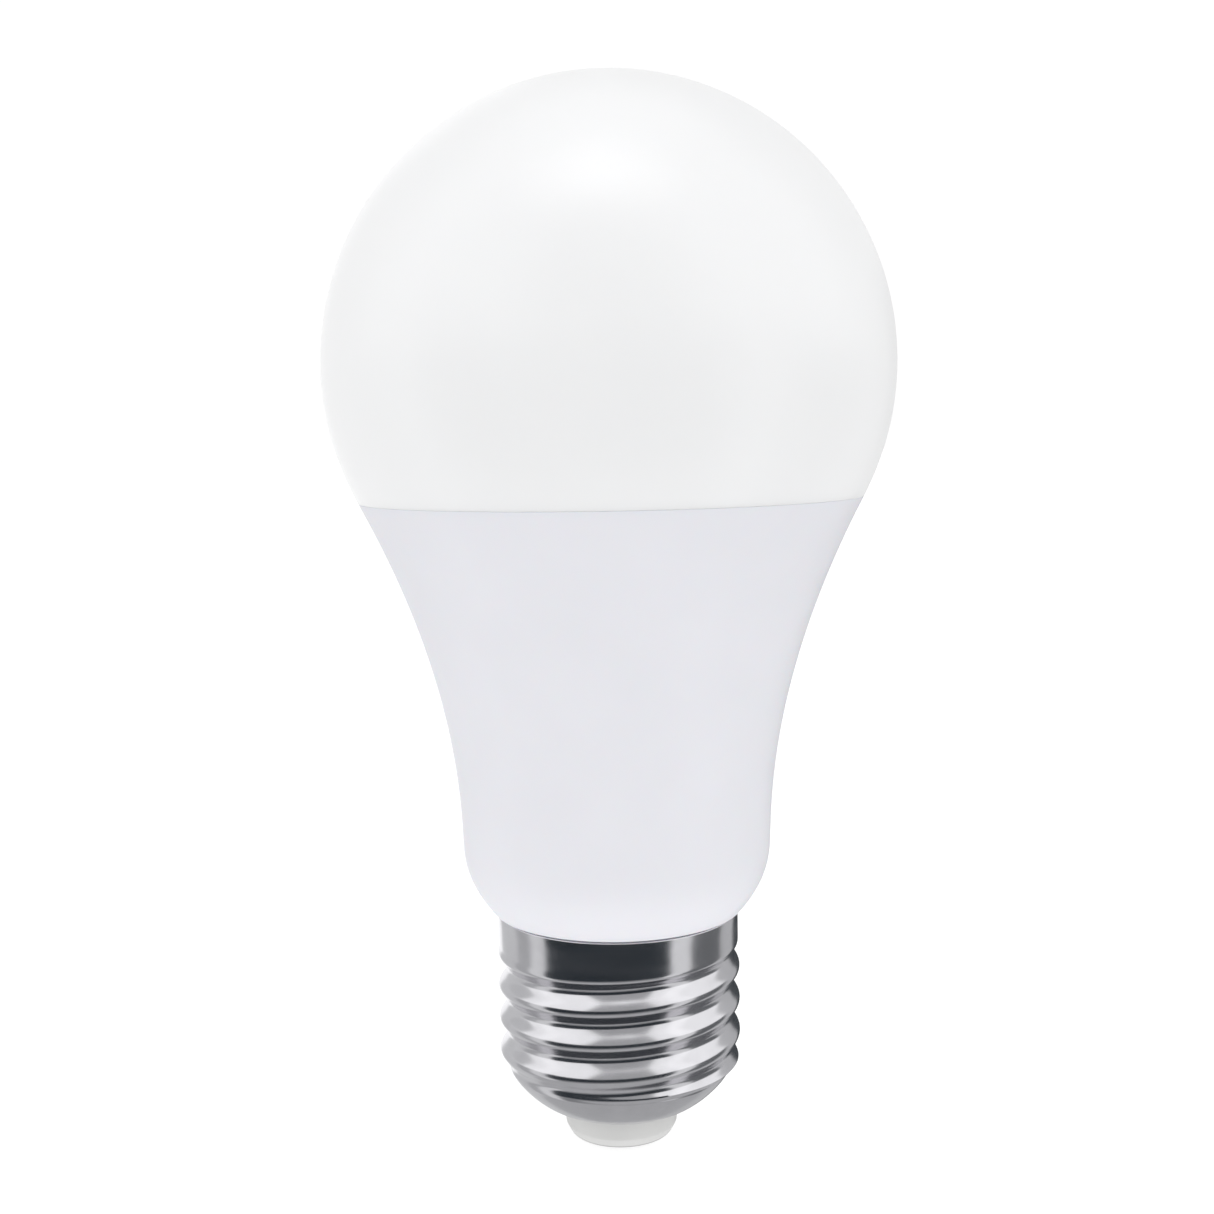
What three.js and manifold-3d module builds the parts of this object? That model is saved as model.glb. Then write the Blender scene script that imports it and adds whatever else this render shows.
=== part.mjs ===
// Smart light bulb: an A60 LED lamp with an E27 screw cap, tunable white LEDs and a Wi-Fi module.
// Millimetres. The origin is the tip of the centre contact on the lamp's axis,
// and +Z runs up the axis from the cap to the globe.
import * as THREE from 'three';
import { mergeVertices } from 'three/addons/utils/BufferGeometryUtils.js';
import Module from 'manifold-3d';

const wasm = await Module();
wasm.setup();

// Clearance kept between pieces that touch, and the break on small edges.
const GAP = 0.3;
const EDGE = 0.2;

// Sides of a round body, by its size.
const ROUND_SEGMENTS = 40;
const MEDIUM_SEGMENTS = 24;
const CAN_SEGMENTS = 20;
const SMALL_SEGMENTS = 14;

// Envelope.
const TOTAL_HEIGHT = 114.4;
const GLOBE_RADIUS = 30;
const GLOBE_WALL = 1.3;
const SEAM_HEIGHT = 70.6;

// Housing: a flare from the seam to a narrow neck, and a rounded foot above the cap.
const HOUSING_WALL = 1.4;
const NECK_TOP_HEIGHT = 35.9;
const NECK_TOP_RADIUS = 16.7;
const NECK_BOTTOM_HEIGHT = 33.4;
const NECK_BOTTOM_RADIUS = 16.6;
const FOOT_HEIGHT = 26.25;
const FOOT_RADIUS = 13.5;
const SKIRT_BOTTOM_HEIGHT = 13.4;
const SKIRT_INNER_RADIUS = 10.4;

// Joint between globe and housing, with its seal.
const GLOBE_SKIRT_OUTER_RADIUS = 23.2;
const GLOBE_SKIRT_INNER_RADIUS = 22;
const GLOBE_SKIRT_BOTTOM = 67.6;
const HOUSING_BORE_RADIUS = GLOBE_SKIRT_OUTER_RADIUS + GAP;
const BEAD = { ringRadius: 21.95, height: 66.75, radius: 0.5, sides: 6 };

// Screw cap: E27, a thread of 7 turns to the inch rolled into thin sheet.
const SHEET = 0.3;
const THREAD_PITCH = 25.4 / 7;
const THREAD_CREST_RADIUS = 13.2;
const THREAD_ROOT_RADIUS = 12.2;
const THREAD_MEAN_RADIUS = (THREAD_CREST_RADIUS + THREAD_ROOT_RADIUS) / 2;
const THREAD_DEPTH = THREAD_CREST_RADIUS - THREAD_ROOT_RADIUS;
const THREAD_CREST_HEIGHT = 19.6;
const THREAD_ROWS_PER_TURN = 6;
const CAP_SEGMENTS = 36;
const COLLAR_RADIUS = 13.05;
const COLLAR_TOP = FOOT_HEIGHT - GAP;
const THREAD_START = 22.6;
const THREAD_TOP = 21.1;
const THREAD_BOTTOM = 9.2;
const THREAD_END = 8.6;
const CAP_HOLE_RADIUS = 6.6;
const CAP_HOLE_HEIGHT = 4.2;
const INSULATOR_FACE_RADIUS = 5.2;
const INSULATOR_RIM_RADIUS = 6;
const INSULATOR_RIM_HEIGHT = 1.9;
const INSULATOR_FLANGE = { radius: 8.4, bottom: 6.5, top: 7.6 };

// Centre contact.
const CONTACT_FLAT_RADIUS = 2.6;
const CONTACT_RADIUS = 3.6;
const CONTACT_HEAD = 0.5;
const RIVET_RADIUS = 1.4;
const RIVET_TOP = 8.1;
const RIVET_BORE_RADIUS = 0.8;
const RIVET_BORE_BOTTOM = 2;

// Heat sink cup and LED board.
const CUP_SHEET = 1;
const CUP_TOP = 65.9;
const CUP_BOTTOM = 44.9;
const CUP_WINDOW = { halfWidth: 8.8, front: -1.4, back: 3.8 };
const LED_BOARD_RADIUS = 21;
const LED_BOARD_THICKNESS = 1.6;
const LED_BOARD_BOTTOM = CUP_TOP + GAP;
const LED_BOARD_TOP = LED_BOARD_BOTTOM + LED_BOARD_THICKNESS;
const LED_COUNT = 16;
const LED_RING_RADIUS = 15.5;
const LED_SIZE = { wide: 3.5, deep: 2.8, high: 0.65, corner: 0.3 };
const SCREW_ANGLES = [90, 210, 330];
const SCREW_CIRCLE_RADIUS = 9.5;
const SCREW_TIP_RADIUS = 0.65;
const SCREW_SHANK_RADIUS = 1.25;
const SCREW_HEAD_RADIUS = 2.4;
const SCREW_HEAD_RIM = 0.5;
const SCREW_HEAD_HEIGHT = 1.4;
const SCREW_BOTTOM = 61.4;

// Driver board: it stands upright across the lamp, parts on both faces, in two rails inside the neck.
const DRIVER_FRONT = 3.4;
const DRIVER_THICKNESS = 1.6;
const DRIVER_BACK = DRIVER_FRONT + DRIVER_THICKNESS;
const DRIVER_TOP = 62.9;
const DRIVER_SHOULDER = 30.4;
const DRIVER_BOTTOM = 14.9;
const DRIVER_HALF_WIDTH = 12;
const DRIVER_TAIL_HALF_WIDTH = 8.6;
const RAIL_BOTTOM = 30.9;
const RAIL_TOP = 43.9;
const RAIL_INNER = 10.8;
const RAIL_DEPTH = 4.4;
const SLEEVE = { innerRadius: 13.9, outerRadius: 14.3, bottom: 45.2, top: 64.2 };

// Wi-Fi module: its antenna end passes through the LED board into the globe.
const MODULE_WIDTH = 15;
const MODULE_THICKNESS = 0.8;
const MODULE_BOTTOM = 57.3;
const MODULE_TOP = 78.3;
const MODULE_CORNER = 1;
const SHIELD_CAN = { wide: 12, deep: 2.2, high: 6, corner: 0.3, y: -1.8, bottom: 58.2 };

// The row of four pins that plugs the driver into the LED board, with its header and socket.
const PIN_PITCH = 2.54;
const PIN_ROW_Y = 2.2;
const PIN_HALF = 0.3;
const PIN_BOTTOM = 59.5;
const PIN_TOP = LED_BOARD_TOP + 2;
const PIN_OFFSETS = [-1.5, -0.5, 0.5, 1.5].map((step) => step * PIN_PITCH);
const HEADER = { halfWidth: 5.2, front: PIN_ROW_Y - 0.9, bottom: 60.2, top: 62.5 };
const MODULE_HEADER = { halfWidth: 4.8, front: 0.7, bottom: 57.5, top: 58.9 };
const SOCKET = { halfWidth: 5.4, front: PIN_ROW_Y - 1, back: PIN_ROW_Y + 1.1, height: 2.4 };

// Parts on the driver board: x is across the lamp, and z up it, to a can's foot or a chip's middle.
const BULK_CAPACITOR = { radius: 4, height: 12.5, x: -5.6, z: 29.9 };
const OUTPUT_CAPACITOR = { radius: 3.15, height: 10.5, x: -5, z: 47.9 };
const FILTER_INDUCTOR = { radius: 3, height: 8, x: -3.6, z: 19.4 };
const FILM_CAPACITOR = { wide: 8, deep: 5, high: 9, corner: 0.5, x: 4.2, z: 30.9 };
const VARISTOR = { radius: 3.3, thickness: 2.8, edge: 0.7, x: 4.4, z: 22.4 };
const RESISTOR = { length: 9, lead: 1.2, leadRadius: 0.3, bodyRadius: 1.3, capRadius: 1.4, x: 0, z: 17.9 };
const BRIDGE = { wide: 3.9, high: 4.7, thick: 2.4, legsPerSide: 2, legPitch: 2.54, x: 4.5, z: 34.9 };
const DRIVER_CHIP = { wide: 3.9, high: 4.9, thick: 1.5, legsPerSide: 4, legPitch: 1.27, x: 4.5, z: 43.4 };
const WARM_MOSFET = { wide: 2.6, high: 2.9, thick: 1.1, legsPerSide: 2, legPitch: 1.9, x: 3.2, z: 56.9 };
const COOL_MOSFET = { ...WARM_MOSFET, x: 8.2 };
const LEG = { reach: 0.9, root: 0.3, half: 0.2, thick: 0.5 };

// Transformer: two joined E cores, a spool round their middle leg, and the winding on the spool.
const TRANSFORMER_Z = 50.1;
const CORE = { halfWidth: 8, halfHeight: 6.6, halfDepth: 2, windowEnd: 5.9, windowHalf: 4.6, legHalf: 2 };
const SPOOL = { boreRadius: 3.15, tubeRadius: 3.6, flangeRadius: 5.4, flangeTop: 4.2, flangeThickness: 0.6 };
const WINDING_RADIUS = 5.1;

// Wires: live from the rivet, neutral from the inside of the cap, both to the driver board's tail.
const WIRE_RADIUS = 0.45;
const WIRE_SLOT = { halfWidth: 1, top: 18.9 };
const LIVE_ROUTE = [
  [0, 0, RIVET_BORE_BOTTOM + 0.8], [0, 0, 8.4], [0.6, 0.2, 11.4], [2.2, 1.4, 14.1], [2.6, 2.5, 17.4],
];
const NEUTRAL_ROUTE = [
  [-6.2, 2.5, 17.7], [-6.6, 2, 14.5], [-8.6, 0.8, 11.9], [-10.5, 0, 12.3],
  [-11.05, 0, 14.5], [-11.05, 0, 17.9],
];

// Finishes: colour, roughness, metalness.
const OPAL_WHITE = [0xf4f5f6, 0.35, 0];
const HOUSING_WHITE = [0xe9eaf0, 0.4, 0];
const NICKEL = [0xb9bbbd, 0.18, 1];
const LIGHT_GREY = [0xcfcfcb, 0.5, 0];
const ALUMINIUM = [0xc6c8ca, 0.4, 1];
const BLACK = [0x1d1d1f, 0.5, 0];
const GREEN_LAMINATE = [0x2d6b45, 0.45, 0];
const WHITE_MASK = [0xf1f1ec, 0.4, 0];
const STEEL = [0x9a9da0, 0.3, 1];
const FERRITE = [0x3a3a3c, 0.6, 0];
const COPPER = [0xb4643a, 0.35, 1];
const SILICONE = [0xe6e6e2, 0.6, 0];
const WARM_PHOSPHOR = [0xf2b84b, 0.4, 0];
const COOL_PHOSPHOR = [0xf3e27a, 0.4, 0];
const YELLOW_FILM = [0xc8a22e, 0.4, 0];
const BLUE_EPOXY = [0x2f6fb3, 0.45, 0];
const GREY_BLUE_COATING = [0x6f9fb0, 0.5, 0];
const RED_SLEEVE = [0xb03030, 0.5, 0];
const BLACK_SLEEVE = [0x2b2b2e, 0.5, 0];

// Geometry to solid and back, for cuts and joins.

function toSolid(geometry) {
  const bare = geometry.clone();
  bare.deleteAttribute('normal');
  bare.deleteAttribute('uv');
  const merged = mergeVertices(bare, 1e-4);
  const corners = merged.index.array;
  const kept = [];
  for (let i = 0; i < corners.length; i += 3) {
    const [a, b, c] = corners.slice(i, i + 3);
    if (a !== b && b !== c && c !== a) {
      kept.push(a, b, c);
    }
  }
  return new wasm.Manifold(new wasm.Mesh({
    numProp: 3,
    vertProperties: new Float32Array(merged.attributes.position.array),
    triVerts: new Uint32Array(kept),
  }));
}

function toGeometry(solid) {
  const mesh = solid.getMesh();
  const geometry = new THREE.BufferGeometry();
  geometry.setAttribute('position', new THREE.BufferAttribute(mesh.vertProperties, mesh.numProp));
  geometry.setIndex(new THREE.BufferAttribute(mesh.triVerts, 1));
  geometry.computeVertexNormals();
  return geometry;
}

function joined(geometries) {
  return geometries.map(toSolid).reduce((whole, next) => whole.add(next));
}

// Basic shapes, all standing on +Z.

const point = (radius, height) => new THREE.Vector2(radius, height);

const ordered = (a, b) => [Math.min(a, b), Math.max(a, b)];

// A round body turned about Z. Its outline runs counterclockwise, radius to the right and height up.
function turned(outline, segments = ROUND_SEGMENTS) {
  return new THREE.LatheGeometry(outline, segments).rotateX(Math.PI / 2);
}

function turnedRing(outline, segments = ROUND_SEGMENTS) {
  return turned([...outline, outline[0]], segments);
}

function cylinder(radius, bottom, top, segments = SMALL_SEGMENTS) {
  return new THREE.CylinderGeometry(radius, radius, top - bottom, segments)
    .rotateX(Math.PI / 2)
    .translate(0, 0, (bottom + top) / 2);
}

function block(low, high) {
  const size = high.map((value, axis) => value - low[axis]);
  const middle = high.map((value, axis) => (value + low[axis]) / 2);
  return new THREE.BoxGeometry(...size).translate(...middle);
}

// A block with its four upright edges cut back.
function chamferedBlock({ wide, deep, high, corner }) {
  const x = wide / 2;
  const y = deep / 2;
  const outline = new THREE.Shape();
  outline.moveTo(x, -y + corner);
  outline.lineTo(x, y - corner);
  outline.lineTo(x - corner, y);
  outline.lineTo(-x + corner, y);
  outline.lineTo(-x, y - corner);
  outline.lineTo(-x, -y + corner);
  outline.lineTo(-x + corner, -y);
  outline.lineTo(x - corner, -y);
  return new THREE.ExtrudeGeometry(outline, { depth: high, bevelEnabled: false });
}

// A flat outline in the X-Z plane, given its thickness towards -Y from the back face.
function uprightPlate(corners, back, thickness) {
  const outline = new THREE.Shape(corners.map(([x, z]) => point(x, z)));
  return new THREE.ExtrudeGeometry(outline, { depth: thickness, bevelEnabled: false })
    .rotateX(Math.PI / 2)
    .translate(0, back, 0);
}

function wireAlong(points, steps) {
  const path = new THREE.CatmullRomCurve3(points.map((place) => new THREE.Vector3(...place)));
  const section = new THREE.Shape().absarc(0, 0, WIRE_RADIUS, 0, 2 * Math.PI);
  return new THREE.ExtrudeGeometry(section, { extrudePath: path, steps, curveSegments: 4 });
}

// Outline of the lamp's body, from the seam down to the foot.

const globeCentre = TOTAL_HEIGHT - GLOBE_RADIUS;
const seamRadius = Math.sqrt(GLOBE_RADIUS ** 2 - (globeCentre - SEAM_HEIGHT) ** 2);
const seamSlope = (globeCentre - SEAM_HEIGHT) / seamRadius;
const flareReach = (SEAM_HEIGHT - NECK_TOP_HEIGHT) / 3;
const neckSlope = (NECK_TOP_RADIUS - NECK_BOTTOM_RADIUS) / (NECK_TOP_HEIGHT - NECK_BOTTOM_HEIGHT);

const flare = new THREE.CubicBezierCurve(
  point(seamRadius, SEAM_HEIGHT),
  point(seamRadius - flareReach * seamSlope, SEAM_HEIGHT - flareReach),
  point(NECK_TOP_RADIUS + flareReach * neckSlope, NECK_TOP_HEIGHT + flareReach),
  point(NECK_TOP_RADIUS, NECK_TOP_HEIGHT),
);

const foot = new THREE.CubicBezierCurve(
  point(NECK_BOTTOM_RADIUS, NECK_BOTTOM_HEIGHT),
  point(NECK_BOTTOM_RADIUS - 0.1, NECK_BOTTOM_HEIGHT - 2.8),
  point(FOOT_RADIUS + 1.9, FOOT_HEIGHT + 2.2),
  point(FOOT_RADIUS, FOOT_HEIGHT),
);

// The same curve moved inwards, square to itself.
function insetLine(curve, inset, steps) {
  const line = [];
  for (let i = 0; i <= steps; i += 1) {
    const place = curve.getPoint(i / steps);
    const along = curve.getTangent(i / steps);
    line.push(point(place.x + inset * along.y, place.y - inset * along.x));
  }
  return line;
}

// A solid core whose side follows the flare at a given depth below the lamp's surface.
function flareCore(inset, steps = 8) {
  const side = insetLine(flare, inset, steps);
  return toSolid(turned([
    point(0, side[steps].y),
    ...side.reverse(),
    point(0, side[steps].y),
  ]));
}

function slab(bottom, top) {
  const reach = 2 * GLOBE_RADIUS;
  return toSolid(block([-reach, -reach, bottom], [reach, reach, top]));
}

// Outer shells.

// A quarter of the globe's outline, from a height up to the pole.
function globeArc(radius, lowest, steps) {
  const start = Math.asin((lowest - globeCentre) / radius);
  const line = [];
  for (let i = 0; i < steps; i += 1) {
    const angle = start + (Math.PI / 2 - start) * (i / steps);
    line.push(point(radius * Math.cos(angle), globeCentre + radius * Math.sin(angle)));
  }
  return [...line, point(0, globeCentre + radius)];
}

function diffuserGlobe() {
  const rimHeight = SEAM_HEIGHT + GAP / 2;
  const webTop = SEAM_HEIGHT + GLOBE_WALL;
  return turned([
    ...globeArc(GLOBE_RADIUS - GLOBE_WALL, webTop, 9).reverse(),
    point(GLOBE_SKIRT_INNER_RADIUS, webTop),
    point(GLOBE_SKIRT_INNER_RADIUS, GLOBE_SKIRT_BOTTOM),
    point(GLOBE_SKIRT_OUTER_RADIUS, GLOBE_SKIRT_BOTTOM),
    point(GLOBE_SKIRT_OUTER_RADIUS, rimHeight),
    ...globeArc(GLOBE_RADIUS, rimHeight, 13),
  ]);
}

function housingShell() {
  const rimHeight = SEAM_HEIGHT - GAP / 2;
  const collarSeat = COLLAR_RADIUS - SHEET - GAP;
  const threadSeat = THREAD_ROOT_RADIUS - SHEET - GAP;
  const body = toSolid(turned([
    point(0, SKIRT_BOTTOM_HEIGHT),
    point(threadSeat, SKIRT_BOTTOM_HEIGHT),
    point(threadSeat, THREAD_START),
    point(collarSeat, THREAD_START + collarSeat - threadSeat),
    point(collarSeat, FOOT_HEIGHT),
    ...foot.getPoints(5).reverse(),
    ...flare.getPoints(8).reverse(),
    point(0, SEAM_HEIGHT),
  ])).intersect(slab(0, rimHeight));
  const innerFoot = insetLine(foot, HOUSING_WALL, 3).filter((place) => place.y > FOOT_HEIGHT + 2);
  const innerFlare = insetLine(flare, HOUSING_WALL, 8).filter((place) => place.x < HOUSING_BORE_RADIUS);
  const hollow = toSolid(turned([
    point(0, SKIRT_BOTTOM_HEIGHT - 1),
    point(SKIRT_INNER_RADIUS, SKIRT_BOTTOM_HEIGHT - 1),
    point(SKIRT_INNER_RADIUS, FOOT_HEIGHT + 1),
    ...innerFoot.reverse(),
    ...innerFlare.reverse(),
    point(HOUSING_BORE_RADIUS, GLOBE_SKIRT_BOTTOM - GAP),
    point(HOUSING_BORE_RADIUS, SEAM_HEIGHT + 1),
    point(0, SEAM_HEIGHT + 1),
  ]));
  const wireSlot = toSolid(block(
    [-threadSeat - 1, -WIRE_SLOT.halfWidth, 0],
    [-SKIRT_INNER_RADIUS + 1, WIRE_SLOT.halfWidth, WIRE_SLOT.top],
  ));
  return toGeometry(body.subtract(hollow).add(guideRails()).subtract(wireSlot));
}

// Two slotted rails inside the neck hold the driver board by its edges.
function guideRails() {
  const middle = (DRIVER_FRONT + DRIVER_BACK) / 2;
  const neckBottom = FOOT_HEIGHT + 1;
  const neck = toSolid(cylinder(NECK_BOTTOM_RADIUS - 1, neckBottom, NECK_TOP_HEIGHT + 1, ROUND_SEGMENTS));
  const rails = [-1, 1].map((side) => {
    const near = side * RAIL_INNER;
    const [railLow, railHigh] = ordered(near, side * NECK_TOP_RADIUS);
    const [slotLow, slotHigh] = ordered(near - side, side * (DRIVER_HALF_WIDTH + GAP));
    const rail = toSolid(block(
      [railLow, middle - RAIL_DEPTH / 2, RAIL_BOTTOM],
      [railHigh, middle + RAIL_DEPTH / 2, RAIL_TOP],
    ));
    const slot = toSolid(block(
      [slotLow, DRIVER_FRONT - GAP, RAIL_BOTTOM - 1],
      [slotHigh, DRIVER_BACK + GAP, RAIL_TOP + 1],
    ));
    return rail.subtract(slot);
  });
  return rails[0].add(rails[1]).intersect(flareCore(HOUSING_WALL / 2).add(neck));
}

// Silicone bead between the globe's skirt, the heat sink and the housing.
function sealBead() {
  const { ringRadius, height, radius, sides } = BEAD;
  const outline = [];
  for (let i = 0; i < sides; i += 1) {
    const angle = i * 2 * Math.PI / sides;
    outline.push(point(ringRadius + radius * Math.cos(angle), height + radius * Math.sin(angle)));
  }
  return turnedRing(outline);
}

// Screw cap.

// 0 below the first height, 1 above the second, smooth between.
const blend = (height, low, high) => THREE.MathUtils.smoothstep(height, low, high);

function plainCapRadius(height) {
  const bottomDrop = (THREAD_DEPTH / 2) * (1 - blend(height, THREAD_END, THREAD_BOTTOM));
  const collarRise = (COLLAR_RADIUS - THREAD_MEAN_RADIUS) * blend(height, THREAD_TOP, THREAD_START);
  return THREAD_MEAN_RADIUS - bottomDrop + collarRise;
}

function threadShift(angle, height) {
  const turns = (height - THREAD_CREST_HEIGHT) / THREAD_PITCH - angle / (2 * Math.PI);
  const fade = blend(height, THREAD_END, THREAD_BOTTOM) * (1 - blend(height, THREAD_TOP, THREAD_START));
  return fade * (THREAD_DEPTH / 2) * Math.cos(2 * Math.PI * turns);
}

// A plain drawn cup whose side is then pushed out and in along a right-handed helix.
function capShell() {
  const rowStep = THREAD_PITCH / THREAD_ROWS_PER_TURN;
  const rows = Math.round((THREAD_START - THREAD_END) / rowStep);
  const shoulder = new THREE.CubicBezierCurve(
    point(THREAD_ROOT_RADIUS, THREAD_END),
    point(THREAD_ROOT_RADIUS, THREAD_END - 0.8),
    point(CAP_HOLE_RADIUS + 2.4, CAP_HOLE_HEIGHT),
    point(CAP_HOLE_RADIUS, CAP_HOLE_HEIGHT),
  );
  const side = [];
  for (let i = 0; i <= rows; i += 1) {
    const height = THREAD_START + (THREAD_END - THREAD_START) * (i / rows);
    side.push(point(plainCapRadius(height), height));
  }
  const outside = [point(COLLAR_RADIUS, COLLAR_TOP), ...side, ...shoulder.getPoints(6).slice(1)];
  const inside = [
    point(COLLAR_RADIUS - SHEET, COLLAR_TOP),
    ...side.map((place) => point(place.x - SHEET, place.y)),
    ...insetLine(shoulder, SHEET, 6).slice(1),
  ];
  const shell = turnedRing([...outside.reverse(), ...inside], CAP_SEGMENTS);
  const position = shell.attributes.position;
  for (let i = 0; i < position.count; i += 1) {
    const x = position.getX(i);
    const y = position.getY(i);
    const scale = 1 + threadShift(Math.atan2(y, x), position.getZ(i)) / Math.hypot(x, y);
    position.setXY(i, x * scale, y * scale);
  }
  shell.computeVertexNormals();
  return shell;
}

function capInsulator() {
  const throat = CAP_HOLE_RADIUS - GAP;
  const bore = RIVET_RADIUS + GAP;
  const face = CONTACT_HEAD + GAP;
  return turnedRing([
    point(bore, face),
    point(INSULATOR_FACE_RADIUS, face),
    point(INSULATOR_RIM_RADIUS - EDGE, face + 2 * EDGE),
    point(INSULATOR_RIM_RADIUS, INSULATOR_RIM_HEIGHT),
    point(throat, CAP_HOLE_HEIGHT - EDGE),
    point(throat, INSULATOR_FLANGE.bottom - GAP),
    point(INSULATOR_FLANGE.radius, INSULATOR_FLANGE.bottom),
    point(INSULATOR_FLANGE.radius, INSULATOR_FLANGE.top),
    point(bore, INSULATOR_FLANGE.top),
  ], MEDIUM_SEGMENTS);
}

function centreContact() {
  return turned([
    point(0, 0),
    point(CONTACT_FLAT_RADIUS, 0),
    point(CONTACT_RADIUS - EDGE, CONTACT_HEAD * 0.3),
    point(CONTACT_RADIUS, CONTACT_HEAD),
    point(RIVET_RADIUS, CONTACT_HEAD),
    point(RIVET_RADIUS, RIVET_TOP),
    point(RIVET_BORE_RADIUS, RIVET_TOP),
    point(RIVET_BORE_RADIUS, RIVET_BORE_BOTTOM),
    point(0, RIVET_BORE_BOTTOM),
  ], MEDIUM_SEGMENTS);
}

// Heat sink, LED board and what is on it.

// Drawn aluminium cup: a flat top that carries the LED board, and a side that lines the flare.
function heatSinkCup() {
  const outside = flareCore(HOUSING_WALL + GAP).intersect(slab(CUP_BOTTOM, CUP_TOP));
  const inside = flareCore(HOUSING_WALL + GAP + CUP_SHEET).intersect(slab(0, CUP_TOP - CUP_SHEET));
  const window = toSolid(block(
    [-CUP_WINDOW.halfWidth, CUP_WINDOW.front, CUP_TOP - 2 * CUP_SHEET],
    [CUP_WINDOW.halfWidth, CUP_WINDOW.back, CUP_TOP + CUP_SHEET],
  ));
  return toGeometry(outside.subtract(inside).subtract(window).subtract(screwHoles()));
}

function screwPlaces() {
  return SCREW_ANGLES.map((degrees) => {
    const angle = THREE.MathUtils.degToRad(degrees);
    return [SCREW_CIRCLE_RADIUS * Math.cos(angle), SCREW_CIRCLE_RADIUS * Math.sin(angle)];
  });
}

function screwHoles() {
  const hole = cylinder(SCREW_SHANK_RADIUS + GAP, CUP_TOP - 3, LED_BOARD_TOP + 1);
  return joined(screwPlaces().map(([x, y]) => hole.clone().translate(x, y, 0)));
}

function pinHoles(bottom, top) {
  const half = PIN_HALF + GAP;
  return joined(PIN_OFFSETS.map((x) => block(
    [x - half, PIN_ROW_Y - half, bottom],
    [x + half, PIN_ROW_Y + half, top],
  )));
}

function ledBoard() {
  const slotHalf = MODULE_WIDTH / 2 + 2 * GAP;
  const [below, above] = [LED_BOARD_BOTTOM - 1, LED_BOARD_TOP + 1];
  const disc = toSolid(cylinder(LED_BOARD_RADIUS, LED_BOARD_BOTTOM, LED_BOARD_TOP, ROUND_SEGMENTS));
  const slot = toSolid(block(
    [-slotHalf, -MODULE_THICKNESS / 2 - GAP, below],
    [slotHalf, MODULE_THICKNESS / 2 + GAP, above],
  ));
  return toGeometry(disc.subtract(slot).subtract(screwHoles()).subtract(pinHoles(below, above)));
}

// One LED package, its long side across the ring's radius.
function ledPackage() {
  const { wide, deep, high, corner } = LED_SIZE;
  return chamferedBlock({ wide: deep, deep: wide, high, corner }).translate(0, 0, GAP / 2);
}

function boardConnector() {
  const bottom = LED_BOARD_TOP + GAP / 2;
  const top = bottom + SOCKET.height;
  const { halfWidth, front, back } = SOCKET;
  const body = toSolid(block([-halfWidth, front, bottom], [halfWidth, back, top]));
  return toGeometry(body.subtract(pinHoles(bottom - 1, top + 1)));
}

function boardScrew() {
  const head = LED_BOARD_TOP + GAP;
  return turned([
    point(0, SCREW_BOTTOM),
    point(SCREW_TIP_RADIUS, SCREW_BOTTOM + EDGE / 2),
    point(SCREW_SHANK_RADIUS, SCREW_BOTTOM + 1),
    point(SCREW_SHANK_RADIUS, head),
    point(SCREW_HEAD_RADIUS, head),
    point(SCREW_HEAD_RADIUS, head + SCREW_HEAD_RIM),
    point(SCREW_HEAD_RADIUS * 0.6, head + SCREW_HEAD_HEIGHT),
    point(0, head + SCREW_HEAD_HEIGHT),
  ], SMALL_SEGMENTS);
}

// Driver board and what is on it.

function driverBoard() {
  return uprightPlate([
    [-DRIVER_TAIL_HALF_WIDTH, DRIVER_BOTTOM],
    [DRIVER_TAIL_HALF_WIDTH, DRIVER_BOTTOM],
    [DRIVER_TAIL_HALF_WIDTH, DRIVER_SHOULDER],
    [DRIVER_HALF_WIDTH, DRIVER_SHOULDER],
    [DRIVER_HALF_WIDTH, DRIVER_TOP],
    [-DRIVER_HALF_WIDTH, DRIVER_TOP],
    [-DRIVER_HALF_WIDTH, DRIVER_SHOULDER],
    [-DRIVER_TAIL_HALF_WIDTH, DRIVER_SHOULDER],
  ], DRIVER_BACK, DRIVER_THICKNESS);
}

// A film tube between the driver and the heat sink cup.
function insulationSleeve() {
  return turnedRing([
    point(SLEEVE.innerRadius, SLEEVE.bottom),
    point(SLEEVE.outerRadius, SLEEVE.bottom),
    point(SLEEVE.outerRadius, SLEEVE.top),
    point(SLEEVE.innerRadius, SLEEVE.top),
  ]);
}

// A can with a rolled groove near its sealed end and a chamfered top.
function electrolyticCapacitor({ radius, height }) {
  const neck = radius - 0.4;
  return turned([
    point(0, 0),
    point(neck, 0),
    point(radius, 0.5),
    point(radius, 1.4),
    point(neck, 1.8),
    point(radius, 2.2),
    point(radius, height - 0.5),
    point(neck, height),
    point(0, height),
  ], CAN_SEGMENTS);
}

// A drum core wound with wire, under a sleeve that shows both end flanges.
function drumInductor({ radius, height }) {
  const waist = radius - 0.5;
  const flange = 1;
  return turned([
    point(0, 0),
    point(radius, 0),
    point(radius, flange),
    point(waist, flange + EDGE),
    point(waist, height - flange - EDGE),
    point(radius, height - flange),
    point(radius, height),
    point(0, height),
  ], SMALL_SEGMENTS);
}

function transformerCore() {
  const whole = toSolid(block(
    [-CORE.halfWidth, -CORE.halfDepth, -CORE.halfHeight],
    [CORE.halfWidth, CORE.halfDepth, CORE.halfHeight],
  ));
  const through = CORE.halfDepth + 1;
  const windows = joined([-1, 1].map((side) => {
    const [low, high] = ordered(side * CORE.legHalf, side * CORE.windowEnd);
    return block([low, -through, -CORE.windowHalf], [high, through, CORE.windowHalf]);
  }));
  return toGeometry(whole.subtract(windows));
}

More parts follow.
